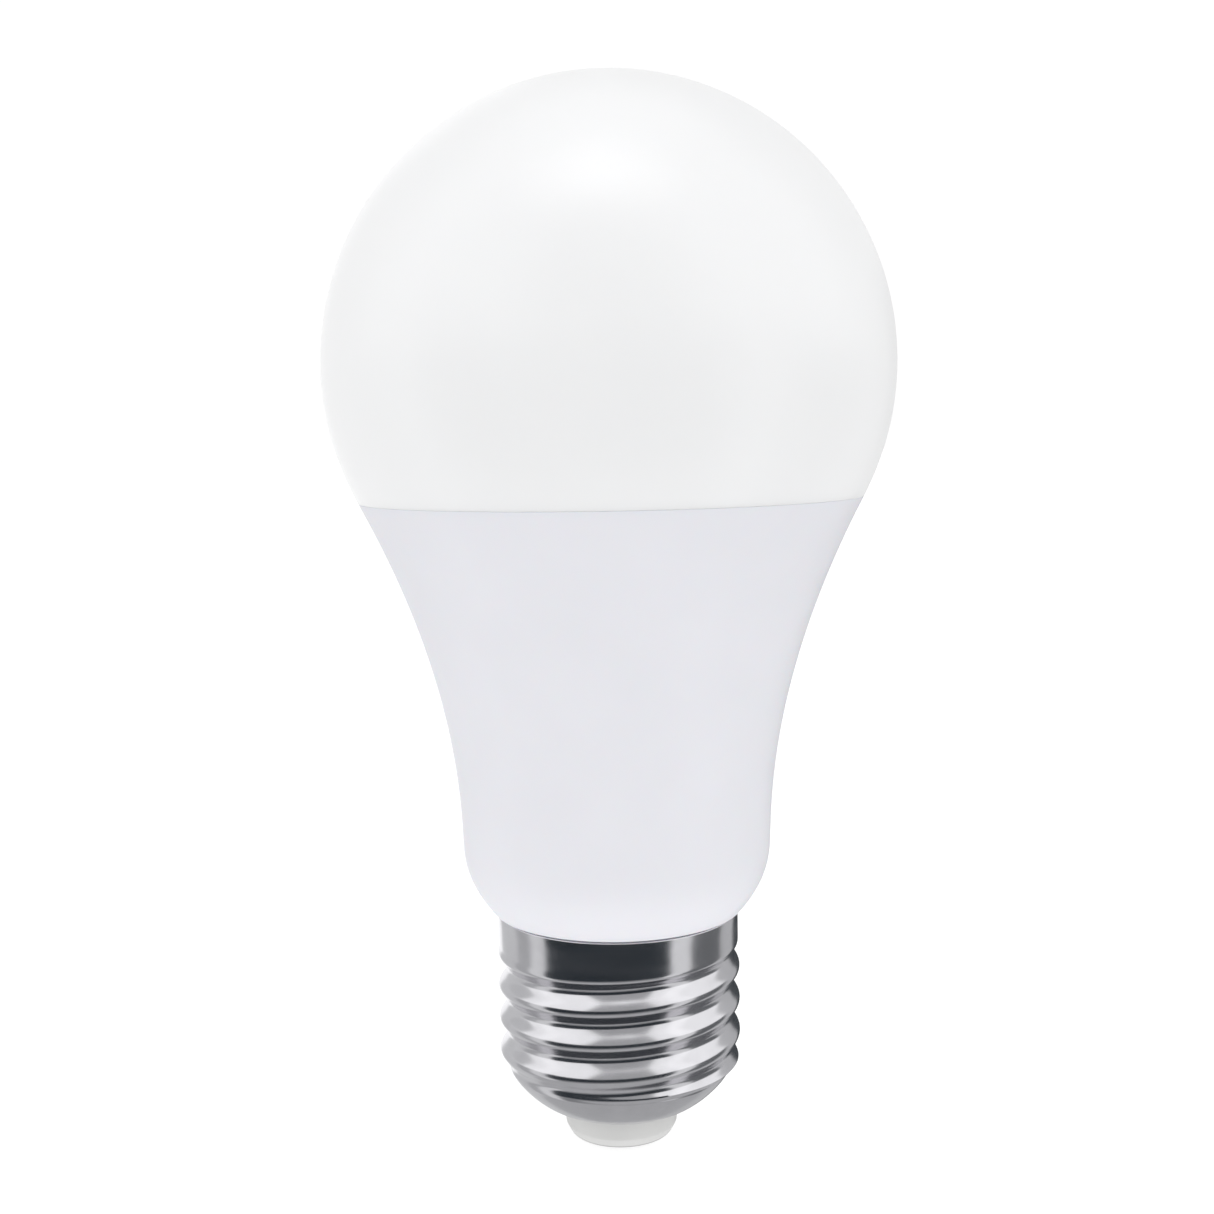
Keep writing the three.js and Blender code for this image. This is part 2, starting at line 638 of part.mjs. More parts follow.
function transformerSpool() {
  const flangeInner = SPOOL.flangeTop - SPOOL.flangeThickness;
  return turnedRing([
    point(SPOOL.boreRadius, -SPOOL.flangeTop),
    point(SPOOL.flangeRadius, -SPOOL.flangeTop),
    point(SPOOL.flangeRadius, -flangeInner),
    point(SPOOL.tubeRadius, -flangeInner),
    point(SPOOL.tubeRadius, flangeInner),
    point(SPOOL.flangeRadius, flangeInner),
    point(SPOOL.flangeRadius, SPOOL.flangeTop),
    point(SPOOL.boreRadius, SPOOL.flangeTop),
  ], CAN_SEGMENTS);
}

function transformerWinding() {
  const end = SPOOL.flangeTop - SPOOL.flangeThickness - GAP;
  const inner = SPOOL.tubeRadius + GAP;
  return turnedRing([
    point(inner, -end),
    point(WINDING_RADIUS, -end),
    point(WINDING_RADIUS, end),
    point(inner, end),
  ], CAN_SEGMENTS);
}

// A chip package with legs along its two upright sides, lying on the face y = 0 towards +Y.
function chipPackage({ wide, high, thick, legsPerSide, legPitch }) {
  const body = chamferedBlock({ wide, deep: high, high: thick, corner: EDGE })
    .rotateX(-Math.PI / 2)
    .translate(0, EDGE, 0);
  const legs = [];
  for (let i = 0; i < legsPerSide; i += 1) {
    const z = (i - (legsPerSide - 1) / 2) * legPitch;
    for (const side of [-1, 1]) {
      const [low, high] = ordered(side * (wide / 2 - LEG.root), side * (wide / 2 + LEG.reach));
      legs.push(block([low, 0, z - LEG.half], [high, LEG.thick, z + LEG.half]));
    }
  }
  return toGeometry(joined([body, ...legs]));
}

// A resistor with a lead at each end and a waist between its two pressed caps.
function fusibleResistor() {
  const { length, lead, leadRadius, bodyRadius, capRadius } = RESISTOR;
  const lowerEnd = [
    point(leadRadius, 0),
    point(leadRadius, lead),
    point(capRadius - GAP, lead + EDGE),
    point(capRadius, lead + 0.8),
    point(bodyRadius, lead + 1.8),
  ];
  const upperEnd = lowerEnd.map((place) => point(place.x, length - place.y)).reverse();
  return turned([point(0, 0), ...lowerEnd, ...upperEnd, point(0, length)], SMALL_SEGMENTS);
}

function varistorDisc() {
  const { radius, thickness, edge } = VARISTOR;
  return turned([
    point(0, 0),
    point(radius - edge, 0),
    point(radius, edge),
    point(radius, thickness - edge),
    point(radius - edge, thickness),
    point(0, thickness),
  ], SMALL_SEGMENTS).rotateX(Math.PI / 2);
}

// Wi-Fi module and headers.

function moduleBoard() {
  const half = MODULE_WIDTH / 2;
  return uprightPlate([
    [-half, MODULE_BOTTOM],
    [half, MODULE_BOTTOM],
    [half, MODULE_TOP - MODULE_CORNER],
    [half - MODULE_CORNER, MODULE_TOP],
    [-half + MODULE_CORNER, MODULE_TOP],
    [-half, MODULE_TOP - MODULE_CORNER],
  ], MODULE_THICKNESS / 2, MODULE_THICKNESS);
}

function headerBase({ halfWidth, front, bottom, top }) {
  return block([-halfWidth, front, bottom], [halfWidth, DRIVER_FRONT - GAP, top]);
}

function pinHeader() {
  const pins = PIN_OFFSETS.map((x) => block(
    [x - PIN_HALF, PIN_ROW_Y - PIN_HALF, PIN_BOTTOM],
    [x + PIN_HALF, PIN_ROW_Y + PIN_HALF, PIN_TOP],
  ));
  return toGeometry(joined([headerBase(HEADER), ...pins]));
}

// Assembly.

const lamp = new THREE.Group();
const screwCap = new THREE.Group();
const lightEngine = new THREE.Group();
const driver = new THREE.Group();
lamp.add(screwCap, lightEngine, driver);

function place(parent, name, geometry, finish, position = [0, 0, 0]) {
  const [color, roughness, metalness] = finish;
  const mesh = new THREE.Mesh(geometry, new THREE.MeshStandardMaterial({ color, roughness, metalness }));
  mesh.name = name;
  mesh.position.set(...position);
  parent.add(mesh);
  return mesh;
}

place(lamp, 'diffuser_globe', diffuserGlobe(), OPAL_WHITE);
place(lamp, 'housing_shell', housingShell(), HOUSING_WHITE);
place(lamp, 'seal_bead', sealBead(), SILICONE);

place(screwCap, 'cap_shell', capShell(), NICKEL);
place(screwCap, 'cap_insulator', capInsulator(), LIGHT_GREY);
place(screwCap, 'centre_contact', centreContact(), NICKEL);

place(lightEngine, 'heat_sink_cup', heatSinkCup(), ALUMINIUM);
place(lightEngine, 'led_board', ledBoard(), WHITE_MASK);
place(lightEngine, 'board_connector', boardConnector(), WHITE_MASK);
screwPlaces().forEach(([x, y], index) => {
  place(lightEngine, `board_screw_${index + 1}`, boardScrew(), STEEL, [x, y, 0]);
});

// Warm and cool packages take turns round the ring.
for (let i = 0; i < LED_COUNT; i += 1) {
  const angle = (i + 0.5) * 2 * Math.PI / LED_COUNT;
  const [tone, phosphor] = i % 2 === 0 ? ['warm', WARM_PHOSPHOR] : ['cool', COOL_PHOSPHOR];
  const spot = [LED_RING_RADIUS * Math.cos(angle), LED_RING_RADIUS * Math.sin(angle), LED_BOARD_TOP];
  const led = place(lightEngine, `led_${tone}_${Math.floor(i / 2) + 1}`, ledPackage(), phosphor, spot);
  led.rotation.z = angle;
}

place(driver, 'driver_board', driverBoard(), GREEN_LAMINATE);
place(driver, 'insulation_sleeve', insulationSleeve(), SILICONE);

// Parts on the board's two faces stand off it by half a gap.
const frontFace = DRIVER_FRONT - GAP / 2;
const backFace = DRIVER_BACK + GAP / 2;

function onFront(name, geometry, finish, { x, z }) {
  geometry.computeBoundingBox();
  place(driver, name, geometry, finish, [x, frontFace - geometry.boundingBox.max.y, z]);
}

function onBack(name, geometry, finish, { x, z }) {
  geometry.computeBoundingBox();
  place(driver, name, geometry, finish, [x, backFace - geometry.boundingBox.min.y, z]);
}

onFront('bulk_capacitor', electrolyticCapacitor(BULK_CAPACITOR), BLACK, BULK_CAPACITOR);
onFront('filter_inductor', drumInductor(FILTER_INDUCTOR), FERRITE, FILTER_INDUCTOR);
onFront('film_capacitor', chamferedBlock(FILM_CAPACITOR), YELLOW_FILM, FILM_CAPACITOR);
onFront('varistor', varistorDisc(), BLUE_EPOXY, VARISTOR);

onBack('output_capacitor', electrolyticCapacitor(OUTPUT_CAPACITOR), BLACK, OUTPUT_CAPACITOR);
onBack('fusible_resistor', fusibleResistor(), GREY_BLUE_COATING, RESISTOR);
onBack('bridge_rectifier', chipPackage(BRIDGE), BLACK, BRIDGE);
onBack('driver_chip', chipPackage(DRIVER_CHIP), BLACK, DRIVER_CHIP);
onBack('warm_channel_mosfet', chipPackage(WARM_MOSFET), BLACK, WARM_MOSFET);
onBack('cool_channel_mosfet', chipPackage(COOL_MOSFET), BLACK, COOL_MOSFET);

const transformerPlace = [0, frontFace - SPOOL.flangeRadius, TRANSFORMER_Z];
place(driver, 'transformer_core', transformerCore(), FERRITE, transformerPlace);
place(driver, 'transformer_spool', transformerSpool(), BLACK, transformerPlace);
place(driver, 'transformer_winding', transformerWinding(), COPPER, transformerPlace);

place(driver, 'wifi_board', moduleBoard(), BLACK);
place(driver, 'wifi_shield_can', chamferedBlock(SHIELD_CAN), STEEL, [0, SHIELD_CAN.y, SHIELD_CAN.bottom]);
place(driver, 'led_pin_header', pinHeader(), BLACK);
place(driver, 'wifi_pin_header', headerBase(MODULE_HEADER), BLACK);

place(driver, 'live_wire', wireAlong(LIVE_ROUTE, 14), RED_SLEEVE);
place(driver, 'neutral_wire', wireAlong(NEUTRAL_ROUTE, 18), BLACK_SLEEVE);

export default lamp;
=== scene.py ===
# The smart light bulb's looks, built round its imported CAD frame.
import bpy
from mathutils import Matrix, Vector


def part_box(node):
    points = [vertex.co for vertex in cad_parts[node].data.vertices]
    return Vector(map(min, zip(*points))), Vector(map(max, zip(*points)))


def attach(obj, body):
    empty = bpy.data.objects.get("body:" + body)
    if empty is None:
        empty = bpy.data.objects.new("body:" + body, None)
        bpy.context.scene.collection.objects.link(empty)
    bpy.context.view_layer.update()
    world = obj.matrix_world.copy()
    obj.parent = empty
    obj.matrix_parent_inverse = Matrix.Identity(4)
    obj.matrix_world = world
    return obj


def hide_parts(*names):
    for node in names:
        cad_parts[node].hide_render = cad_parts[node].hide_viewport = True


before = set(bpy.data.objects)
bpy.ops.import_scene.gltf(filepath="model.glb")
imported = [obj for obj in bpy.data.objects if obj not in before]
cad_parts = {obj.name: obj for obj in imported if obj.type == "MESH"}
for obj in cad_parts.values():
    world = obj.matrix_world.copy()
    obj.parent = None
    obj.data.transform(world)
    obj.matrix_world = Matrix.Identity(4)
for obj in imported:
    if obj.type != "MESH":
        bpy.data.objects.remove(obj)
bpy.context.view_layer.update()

import math

import bmesh
import bpy
from mathutils import Matrix, Vector

MM = 0.001


def low(node):
    """A CAD node's lowest corner, in millimetres."""
    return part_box(node)[0] / MM


def high(node):
    """A CAD node's highest corner, in millimetres."""
    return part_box(node)[1] / MM


def middle(node):
    return (low(node) + high(node)) / 2


def extent(node):
    return high(node) - low(node)


def base(node):
    """The middle of a CAD node's underside."""
    return (middle(node).x, middle(node).y, low(node).z)


# The lamp's nominal dimensions in millimetres, as in its CAD. Heights are above the contact's tip.
CLEARANCE = 0.3
GLOBE_RADIUS = 30.0
GLOBE_WALL = 1.3
TOTAL_HEIGHT = high("diffuser_globe").z
GLOBE_CENTRE = TOTAL_HEIGHT - GLOBE_RADIUS
SEAM_HEIGHT = high("housing_shell").z + CLEARANCE / 2
SEAM_GAP = 0.01
GLOBE_SKIRT = (22.0, 23.2)
GLOBE_SKIRT_BOTTOM = low("diffuser_globe").z
HOUSING_WALL = 1.4
HOUSING_SKIRT_BOTTOM = low("housing_shell").z
HOUSING_SKIRT_BORE = 10.4
CAP_TOP = high("cap_shell").z
FOOT = (13.5, CAP_TOP + CLEARANCE)
NECK_BOTTOM = (16.6, FOOT[1] + 7.15)
NECK_TOP = (16.7, NECK_BOTTOM[1] + 2.5)
SHEET = 0.3
THREAD_PITCH = 25.4 / 7
THREAD_CREST = 13.2
THREAD_ROOT = 12.2
COLLAR_RADIUS = 13.05
THREAD_CREST_HEIGHT = CAP_TOP - 6.35
THREAD_START = CAP_TOP - 3.35
THREAD_TOP = CAP_TOP - 4.85
THREAD_BOTTOM = CAP_TOP - 16.75
THREAD_END = CAP_TOP - 17.35
CAP_HOLE = (6.6, low("cap_shell").z)
BOARD_FRONT = low("driver_board").y
BOARD_BACK = high("driver_board").y
LED_COUNT = 16
SCREW_HOLE = 1.55
PIN_HOLE = 0.55
PIN_PITCH = 2.54
WIRE_RADIUS = 0.45
LEAD_RADIUS = 0.25

# Segments round the outer shells and round the small inner parts.
ROUND = 160
FINE = 48

# The angle, in degrees, from which an edge is drawn sharp.
SHARP = 40

# A cut piece's vertices are welded when they are closer than this.
WELD = 0.003

# These turn a solid's +Z to the lamp's back, +Y, and to its front.
TO_BACK = Matrix.Rotation(-math.pi / 2, 4, "X")
TO_FRONT = Matrix.Rotation(math.pi / 2, 4, "X")


# ---------- outlines, (radius, height) in millimetres

def arc(centre, radius, start, end, steps):
    """Points on a circle from one angle to another, in degrees."""
    points = []
    for i in range(steps + 1):
        angle = math.radians(start + (end - start) * i / steps)
        points.append((centre[0] + radius * math.cos(angle), centre[1] + radius * math.sin(angle)))
    return points


def bezier(a, b, c, d, steps):
    points = []
    for i in range(steps + 1):
        t = i / steps
        w = ((1 - t) ** 3, 3 * t * (1 - t) ** 2, 3 * t * t * (1 - t), t ** 3)
        points.append(tuple(w[0] * a[k] + w[1] * b[k] + w[2] * c[k] + w[3] * d[k] for k in (0, 1)))
    return points


def directions(points):
    """The unit direction of a line at each of its points."""
    pairs = zip([points[0], *points], [*points[1:], points[-1]])
    return [Vector([b - a for a, b in zip(before, after)]).normalized() for before, after in pairs]


def inset(points, depth):
    """The same line moved sideways: to the left of its direction of travel."""
    steps = zip(points, directions(points))
    return [(x - depth * along.y, y + depth * along.x) for (x, y), along in steps]


def rounded(corners, steps=4):
    """An outline from (radius, height, fillet) corners, each fillet drawn as an arc."""
    outline = []
    count = len(corners)
    for i, (x, y, fillet) in enumerate(corners):
        if fillet == 0:
            outline.append((x, y))
            continue
        here = Vector((x, y))
        back = (Vector(corners[i - 1][:2]) - here).normalized()
        ahead = (Vector(corners[(i + 1) % count][:2]) - here).normalized()
        half = back.angle(ahead) / 2
        centre = here + (back + ahead).normalized() * (fillet / math.sin(half))
        first = here + back * (fillet / math.tan(half)) - centre
        last = here + ahead * (fillet / math.tan(half)) - centre
        sweep = first.angle(last)
        for k in range(steps + 1):
            t = k / steps
            p = centre + (first * math.sin((1 - t) * sweep) + last * math.sin(t * sweep)) / math.sin(sweep)
            outline.append((p.x, p.y))
    return outline


def smooth(value, start, end):
    t = min(max((value - start) / (end - start), 0), 1)
    return t * t * (3 - 2 * t)


# ---------- closed solids, (vertices, faces) in millimetres

def lathe(outline, segments=FINE, shift=None):
    """A body turned about Z. Its outline runs counterclockwise, and closes on itself unless it ends on
    the axis. shift(angle, height) pushes the surface out."""
    vertices, rings = [], []
    for radius, height in outline:
        if radius < 1e-6:
            rings.append([len(vertices)])
            vertices.append((0, 0, height))
            continue
        rings.append(list(range(len(vertices), len(vertices) + segments)))
        for k in range(segments):
            angle = 2 * math.pi * k / segments
            r = radius + (shift(angle, height) if shift else 0)
            vertices.append((r * math.cos(angle), r * math.sin(angle), height))
    pairs = list(zip(rings, rings[1:]))
    if len(rings[0]) > 1:
        pairs.append((rings[-1], rings[0]))
    faces = []
    for below, above in pairs:
        for k in range(segments):
            n = (k + 1) % segments
            if len(below) == 1:
                faces.append((below[0], above[n], above[k]))
            elif len(above) == 1:
                faces.append((below[k], below[n], above[0]))
            else:
                faces.append((below[k], below[n], above[n], above[k]))
    return vertices, faces


def loft(rings):
    """A solid with flat ends, through rings of equal length, counterclockwise seen from its last one."""
    count = len(rings[0])
    vertices = [point for ring in rings for point in ring]
    faces = [tuple(reversed(range(count))), tuple(range(len(vertices) - count, len(vertices)))]
    for j in range(len(rings) - 1):
        for k in range(count):
            n = (k + 1) % count
            faces.append((j * count + k, j * count + n, (j + 1) * count + n, (j + 1) * count + k))
    return vertices, faces


def rounded_rectangle(wide, deep, corner, height, steps=3):
    """A ring of points about Z, its corners drawn as arcs."""
    x, y = wide / 2 - corner, deep / 2 - corner
    ring = []
    for quarter, (cx, cy) in enumerate([(x, y), (-x, y), (-x, -y), (x, -y)]):
        ring += [(*p, height) for p in arc((cx, cy), corner, 90 * quarter, 90 * quarter + 90, steps)]
    return ring


def stepped_block(wide, deep, levels):
    """A block through levels of (how much narrower, corner radius, height)."""
    return loft([rounded_rectangle(wide - less, deep - less, corner, z) for less, corner, z in levels])


def moulded_block(wide, deep, tall, corner=0.3, edge=0.15, draft=0.0):
    """A block on z = 0: rounded upright edges, softened rims, and sides that lean in by the draft."""
    rim = [(edge, 0), (edge * 0.3, edge * 0.3), (0, edge)]
    sides = rim + [(inward + draft, tall - rise) for inward, rise in reversed(rim)]
    return stepped_block(wide, deep, [(2 * inward, corner, z) for inward, z in sides])


def tube(points, radius, sides=12, smooth_steps=6):
    """A round wire along a smooth curve through the points."""
    path = catmull_rom([Vector(p) for p in points], smooth_steps)
    rings = []
    across = None
    for here, along in zip(path, directions(path)):
        if across is None:
            across = along.orthogonal().normalized()
        across = (across - along * across.dot(along)).normalized()
        other = along.cross(across)
        angles = [2 * math.pi * k / sides for k in range(sides)]
        rings.append([tuple(here + radius * (math.cos(a) * across + math.sin(a) * other)) for a in angles])
    return loft(rings)


def catmull_rom(points, steps):
    """A smooth curve through the points. Two points are joined by a straight line."""
    if len(points) == 2:
        return points
    path = []
    for i in range(len(points) - 1):
        a = points[max(i - 1, 0)]
        b, c = points[i], points[i + 1]
        d = points[min(i + 2, len(points) - 1)]
        for k in range(steps):
            t = k / steps
            path.append(0.5 * (
                2 * b + (c - a) * t + (2 * a - 5 * b + 4 * c - d) * t ** 2
                + (3 * b - a - 3 * c + d) * t ** 3
            ))
    return [*path, points[-1]]


def lead(points, width, thickness):
    """A flat bent lead in the X-Y plane, its width up Z."""
    rings = []
    for (x, y), along in zip(points, directions(points)):
        side = Vector((-along.y, along.x)) * thickness / 2
        rings.append([
            (x + side.x, y + side.y, -width / 2), (x - side.x, y - side.y, -width / 2),
            (x - side.x, y - side.y, width / 2), (x + side.x, y + side.y, width / 2),
        ])
    return loft(rings)


def in_scene(name, data):
    """A new object in the scene."""
    thing = bpy.data.objects.new(name, data)
    bpy.context.collection.objects.link(thing)
    return thing


def mesh_in_scene(name, vertices, faces):
    """A new mesh object, its vertices in metres."""
    mesh = bpy.data.meshes.new(name)
    mesh.from_pydata(vertices, [], faces)
    return in_scene(name, mesh)


class Body:
    """A piece put together from closed solids, with one paint for each of its materials."""

    def __init__(self):
        self.vertices, self.faces, self.paints = [], [], []

    def add(self, solid, place=(0, 0, 0), paint=0, turn=Matrix()):
        vertices, faces = solid
        start = len(self.vertices)
        matrix = Matrix.Translation(place) @ turn.to_4x4()
        self.vertices += [matrix @ Vector(v) for v in vertices]
        self.faces += [tuple(start + i for i in face) for face in faces]
        self.paints += [paint] * len(faces)
        return self

    def finish(self, name, slot, looks, *cad_nodes, sharp=SHARP):
        """The piece in the scene, riding the lamp and standing for its CAD nodes."""
        piece = mesh_in_scene(name, [v * MM for v in self.vertices], self.faces)
        mesh = piece.data
        mesh.polygons.foreach_set("use_smooth", [True] * len(mesh.polygons))
        mesh.polygons.foreach_set("material_index", self.paints)
        mesh.validate()
        mesh.set_sharp_from_angle(angle=math.radians(sharp))
        for look in looks:
            mesh.materials.append(look.material)
        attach(piece, "root")
        if cad_nodes:
            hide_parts(*cad_nodes)
        return piece


def piece(name, slot, look, solid, node, place=(0, 0, 0), turn=Matrix(), sharp=SHARP):
    """A piece of one solid and one material."""
    return Body().add(solid, place, turn=turn).finish(name, slot, [look], node, sharp=sharp)


def standing_piece(name, slot, look, solid, node, sharp=SHARP):
    """A piece of one solid that stands where its CAD node stands."""
    return piece(name, slot, look, solid, node, base(node), sharp=sharp)


def cut(whole, *solids):
    """Cuts closed solids, in millimetres, out of a piece, and welds what the cuts leave too close."""
    cutters = []
    for vertices, faces in solids:
        cutter = mesh_in_scene("cutter", [Vector(v) * MM for v in vertices], faces)
        cutters.append(cutter)
        modifier = whole.modifiers.new("cut", "BOOLEAN")
        modifier.operation = "DIFFERENCE"
        modifier.solver = "EXACT"
        modifier.object = cutter
    bpy.context.view_layer.update()
    seen = whole.evaluated_get(bpy.context.evaluated_depsgraph_get())
    whole.data = bpy.data.meshes.new_from_object(seen)
    whole.modifiers.clear()
    for cutter in cutters:
        bpy.data.objects.remove(cutter)
    mesh = bmesh.new()
    mesh.from_mesh(whole.data)
    bmesh.ops.remove_doubles(mesh, verts=mesh.verts, dist=WELD * MM)
    bmesh.ops.dissolve_degenerate(mesh, edges=mesh.edges, dist=WELD * MM)
    mesh.to_mesh(whole.data)
    mesh.free()
    whole.data.set_sharp_from_angle(angle=math.radians(SHARP))
    return whole


def block(corner_a, corner_b):
    """A plain block from its lowest to its highest corner, for cutting."""
    (ax, ay, az), (bx, by, bz) = corner_a, corner_b
    rings = [[(ax, ay, z), (bx, ay, z), (bx, by, z), (ax, by, z)] for z in (az, bz)]
    return loft(rings)


def moved(solid, x, y):
    vertices, faces = solid
    return [(v[0] + x, v[1] + y, v[2]) for v in vertices], faces


def rod(radius, bottom, top):
    """A round rod, for cutting. An odd number of sides keeps its corners off a lathed piece's edges."""
    sides = 33
    return lathe([(0, bottom), (radius, bottom), (radius, top), (0, top)], sides)


def cross(reach, half_width, bottom, top):
    """Two crossed bars about Z, for cutting."""
    bars = [(reach, half_width), (half_width, reach)]
    return [block((-x, -y, bottom), (x, y, top)) for x, y in bars]


# ---------- materials

def set_inputs(node, **values):
    """Sets a node's inputs. In their names, an underscore stands for a space."""
    for name, value in values.items():
        node.inputs[name.replace("_", " ")].default_value = value


class Nodes:
    """A material under construction: one Principled shader, and short calls for its textures."""

    def __init__(self, name, **sockets):
        self.material = bpy.data.materials.new(name)
        self.material.use_nodes = True
        self.tree = self.material.node_tree
        self.shader = self.tree.nodes["Principled BSDF"]
        self.place = self.add("ShaderNodeTexCoord").outputs["Object"]
        set_inputs(self.shader, **sockets)

    def add(self, kind, **settings):
        node = self.tree.nodes.new(kind)
        for key, value in settings.items():
            setattr(node, key, value)
        return node

    def link(self, output, target):
        self.tree.links.new(output, target)

    def maths(self, operation, *values):
        node = self.add("ShaderNodeMath", operation=operation)
        for socket, value in zip(node.inputs, values):
            if isinstance(value, (int, float)):
                socket.default_value = value
            else:
                self.link(value, socket)
        return node.outputs["Value"]

    def coordinate(self, axis):
        """One coordinate in the lamp's frame, in millimetres."""
        split = self.add("ShaderNodeSeparateXYZ")
        self.link(self.place, split.inputs["Vector"])
        return self.maths("MULTIPLY", split.outputs[axis], 1 / MM)

    def within(self, value, centre, half):
        """1 where a value is less than half away from its centre."""
        away = self.maths("ABSOLUTE", self.maths("SUBTRACT", value, centre))
        return self.maths("LESS_THAN", away, half)

    def noise(self, size_mm, detail=3.0, stretch=(1, 1, 1)):
        """Noise with features about size_mm across, stretched along an axis by a factor below 1."""
        mapping = self.add("ShaderNodeMapping")
        self.link(self.place, mapping.inputs["Vector"])
        set_inputs(mapping, Scale=[s / (size_mm * MM) for s in stretch])
        noise = self.add("ShaderNodeTexNoise")
        set_inputs(noise, Scale=1.0, Detail=detail)
        self.link(mapping.outputs["Vector"], noise.inputs["Vector"])
        return noise.outputs["Fac"]

    def colours(self, value, *stops):
        """A colour ramp on the shader's base colour: (position, (r, g, b)) stops."""
        ramp = self.add("ShaderNodeValToRGB")
        while len(ramp.color_ramp.elements) < len(stops):
            ramp.color_ramp.elements.new(0.5)
        for element, (position, colour) in zip(ramp.color_ramp.elements, stops):
            element.position = position
            element.color = (*colour, 1)
        self.link(value, ramp.inputs["Fac"])
        self.link(ramp.outputs["Color"], self.shader.inputs["Base Color"])

    def paint(self, mask, colour, metallic=None):
        """Another colour where the mask is 1, and metal there if metallic is given."""
        target = self.shader.inputs["Base Color"]
        mix = self.add("ShaderNodeMix", data_type="RGBA")
        self.link(mask, mix.inputs["Factor"])
        self.link(target.links[0].from_socket, mix.inputs["A"])
        set_inputs(mix, B=(*colour, 1))
        self.link(mix.outputs["Result"], target)
        if metallic is not None:
            self.link(self.maths("MULTIPLY", mask, metallic), self.shader.inputs["Metallic"])

    def roughness(self, value, smoothest, roughest):
        """Uneven gloss: noise spreads about the middle of its range, so its outer quarters are rare."""
        spread = self.add("ShaderNodeMapRange", clamp=False)
        set_inputs(spread, From_Min=0.25, From_Max=0.75, To_Min=smoothest, To_Max=roughest)
        self.link(value, spread.inputs["Value"])
        self.link(spread.outputs["Result"], self.shader.inputs["Roughness"])

    def bump(self, value, height_mm):
        """Relief, laid over any relief that is there already."""
        bump = self.add("ShaderNodeBump")
        set_inputs(bump, Distance=height_mm * MM)
        self.link(value, bump.inputs["Height"])
        previous = self.shader.inputs["Normal"].links
        if previous:
            self.link(previous[0].from_socket, bump.inputs["Normal"])
        self.link(bump.outputs["Normal"], self.shader.inputs["Normal"])


def around(colour, spread):
    """The two ends of a small variation about a colour."""
    return (0.3, tuple(c * (1 - spread) for c in colour)), (0.7, tuple(c * (1 + spread) for c in colour))


def plastic(name, colour, roughness, spread=0.03, cloud=4.0, grain=0.4, height=0.004, **sockets):
    """Moulded or coated plastic: faint cloudiness, uneven gloss and a fine moulded grain."""
    m = Nodes(name, **sockets)
    m.colours(m.noise(cloud, 3), *around(colour, spread))
    m.roughness(m.noise(cloud / 3, 2), *roughness)
    m.bump(m.noise(grain, 2), height)
    return m


def metal(name, colour, roughness, grain=0.3, stretch=(1, 1, 1), height=0.001, **sockets):
    """Bare or plated metal, its grain drawn out along one way."""
    m = Nodes(name, Metallic=1.0, **sockets)
    m.colours(m.noise(3, 4), *around(colour, 0.04))
    m.roughness(m.noise(1.5, 3, stretch), *roughness)
    m.bump(m.noise(grain, 2, stretch), height)
    return m


def opal_polycarbonate():
    """The diffuser: light goes a little way into it, and a faint orange peel breaks its gloss."""
    return plastic(
        "opal_polycarbonate", (0.893, 0.895, 0.9), (0.31, 0.35), spread=0.006, cloud=14, grain=6,
        height=0.003, IOR=1.585, Subsurface_Weight=0.3, Subsurface_Scale=0.002,
        Subsurface_Radius=(1.0, 0.95, 0.9), Sheen_Weight=0.8, Sheen_Roughness=0.5,
    )


def housing_plastic():
    """Satin thermoplastic with a cool tint."""
    return plastic(
        "housing_plastic", (0.795, 0.796, 0.84), (0.42, 0.52), spread=0.01, cloud=9, grain=1.2,
        IOR=1.5, Subsurface_Weight=0.1, Subsurface_Scale=0.001,
    )


def bright_nickel():
    """Plated sheet with rolling marks that run round the cap, and soft waves left by the thread roll."""
    m = metal("bright_nickel", (0.76, 0.75, 0.775), (0.15, 0.22), grain=0.5, stretch=(0.15, 0.15, 1))
    m.bump(m.noise(5, 2), 0.012)
    return m


def solder_mask(name, colour, copper, area, gap):
    """Lacquered laminate. Raised areas of copper, about so wide, show through, with gaps between them."""
    m = Nodes(name, Coat_Weight=0.4, Coat_Roughness=0.2)
    distances = []
    for feature in ("F2", "F1"):
        cells = m.add("ShaderNodeTexVoronoi", feature=feature, distance="CHEBYCHEV")
        set_inputs(cells, Scale=1 / (area * MM))
        m.link(m.place, cells.inputs["Vector"])
        distances.append(cells.outputs["Distance"])
    edge = m.add("ShaderNodeMapRange", interpolation_type="SMOOTHSTEP")
    set_inputs(edge, From_Min=gap / area * 0.5, From_Max=gap / area)
    m.link(m.maths("SUBTRACT", *distances), edge.inputs["Value"])
    covered = edge.outputs["Result"]
    m.colours(covered, (0.0, colour), (1.0, copper))
    m.roughness(m.noise(1.5, 3), 0.3, 0.4)
    m.bump(covered, 0.035)
    return m


def capacitor_sleeve(centre):
    """A shrunk sleeve with a pale stripe down its front and its back."""
    half_stripe = 0.9
    m = plastic("capacitor_sleeve", (0.022, 0.024, 0.03), (0.32, 0.44), grain=1.0, height=0.01)
    m.paint(m.within(m.coordinate("X"), centre.x, half_stripe), (0.55, 0.55, 0.52))
    return m


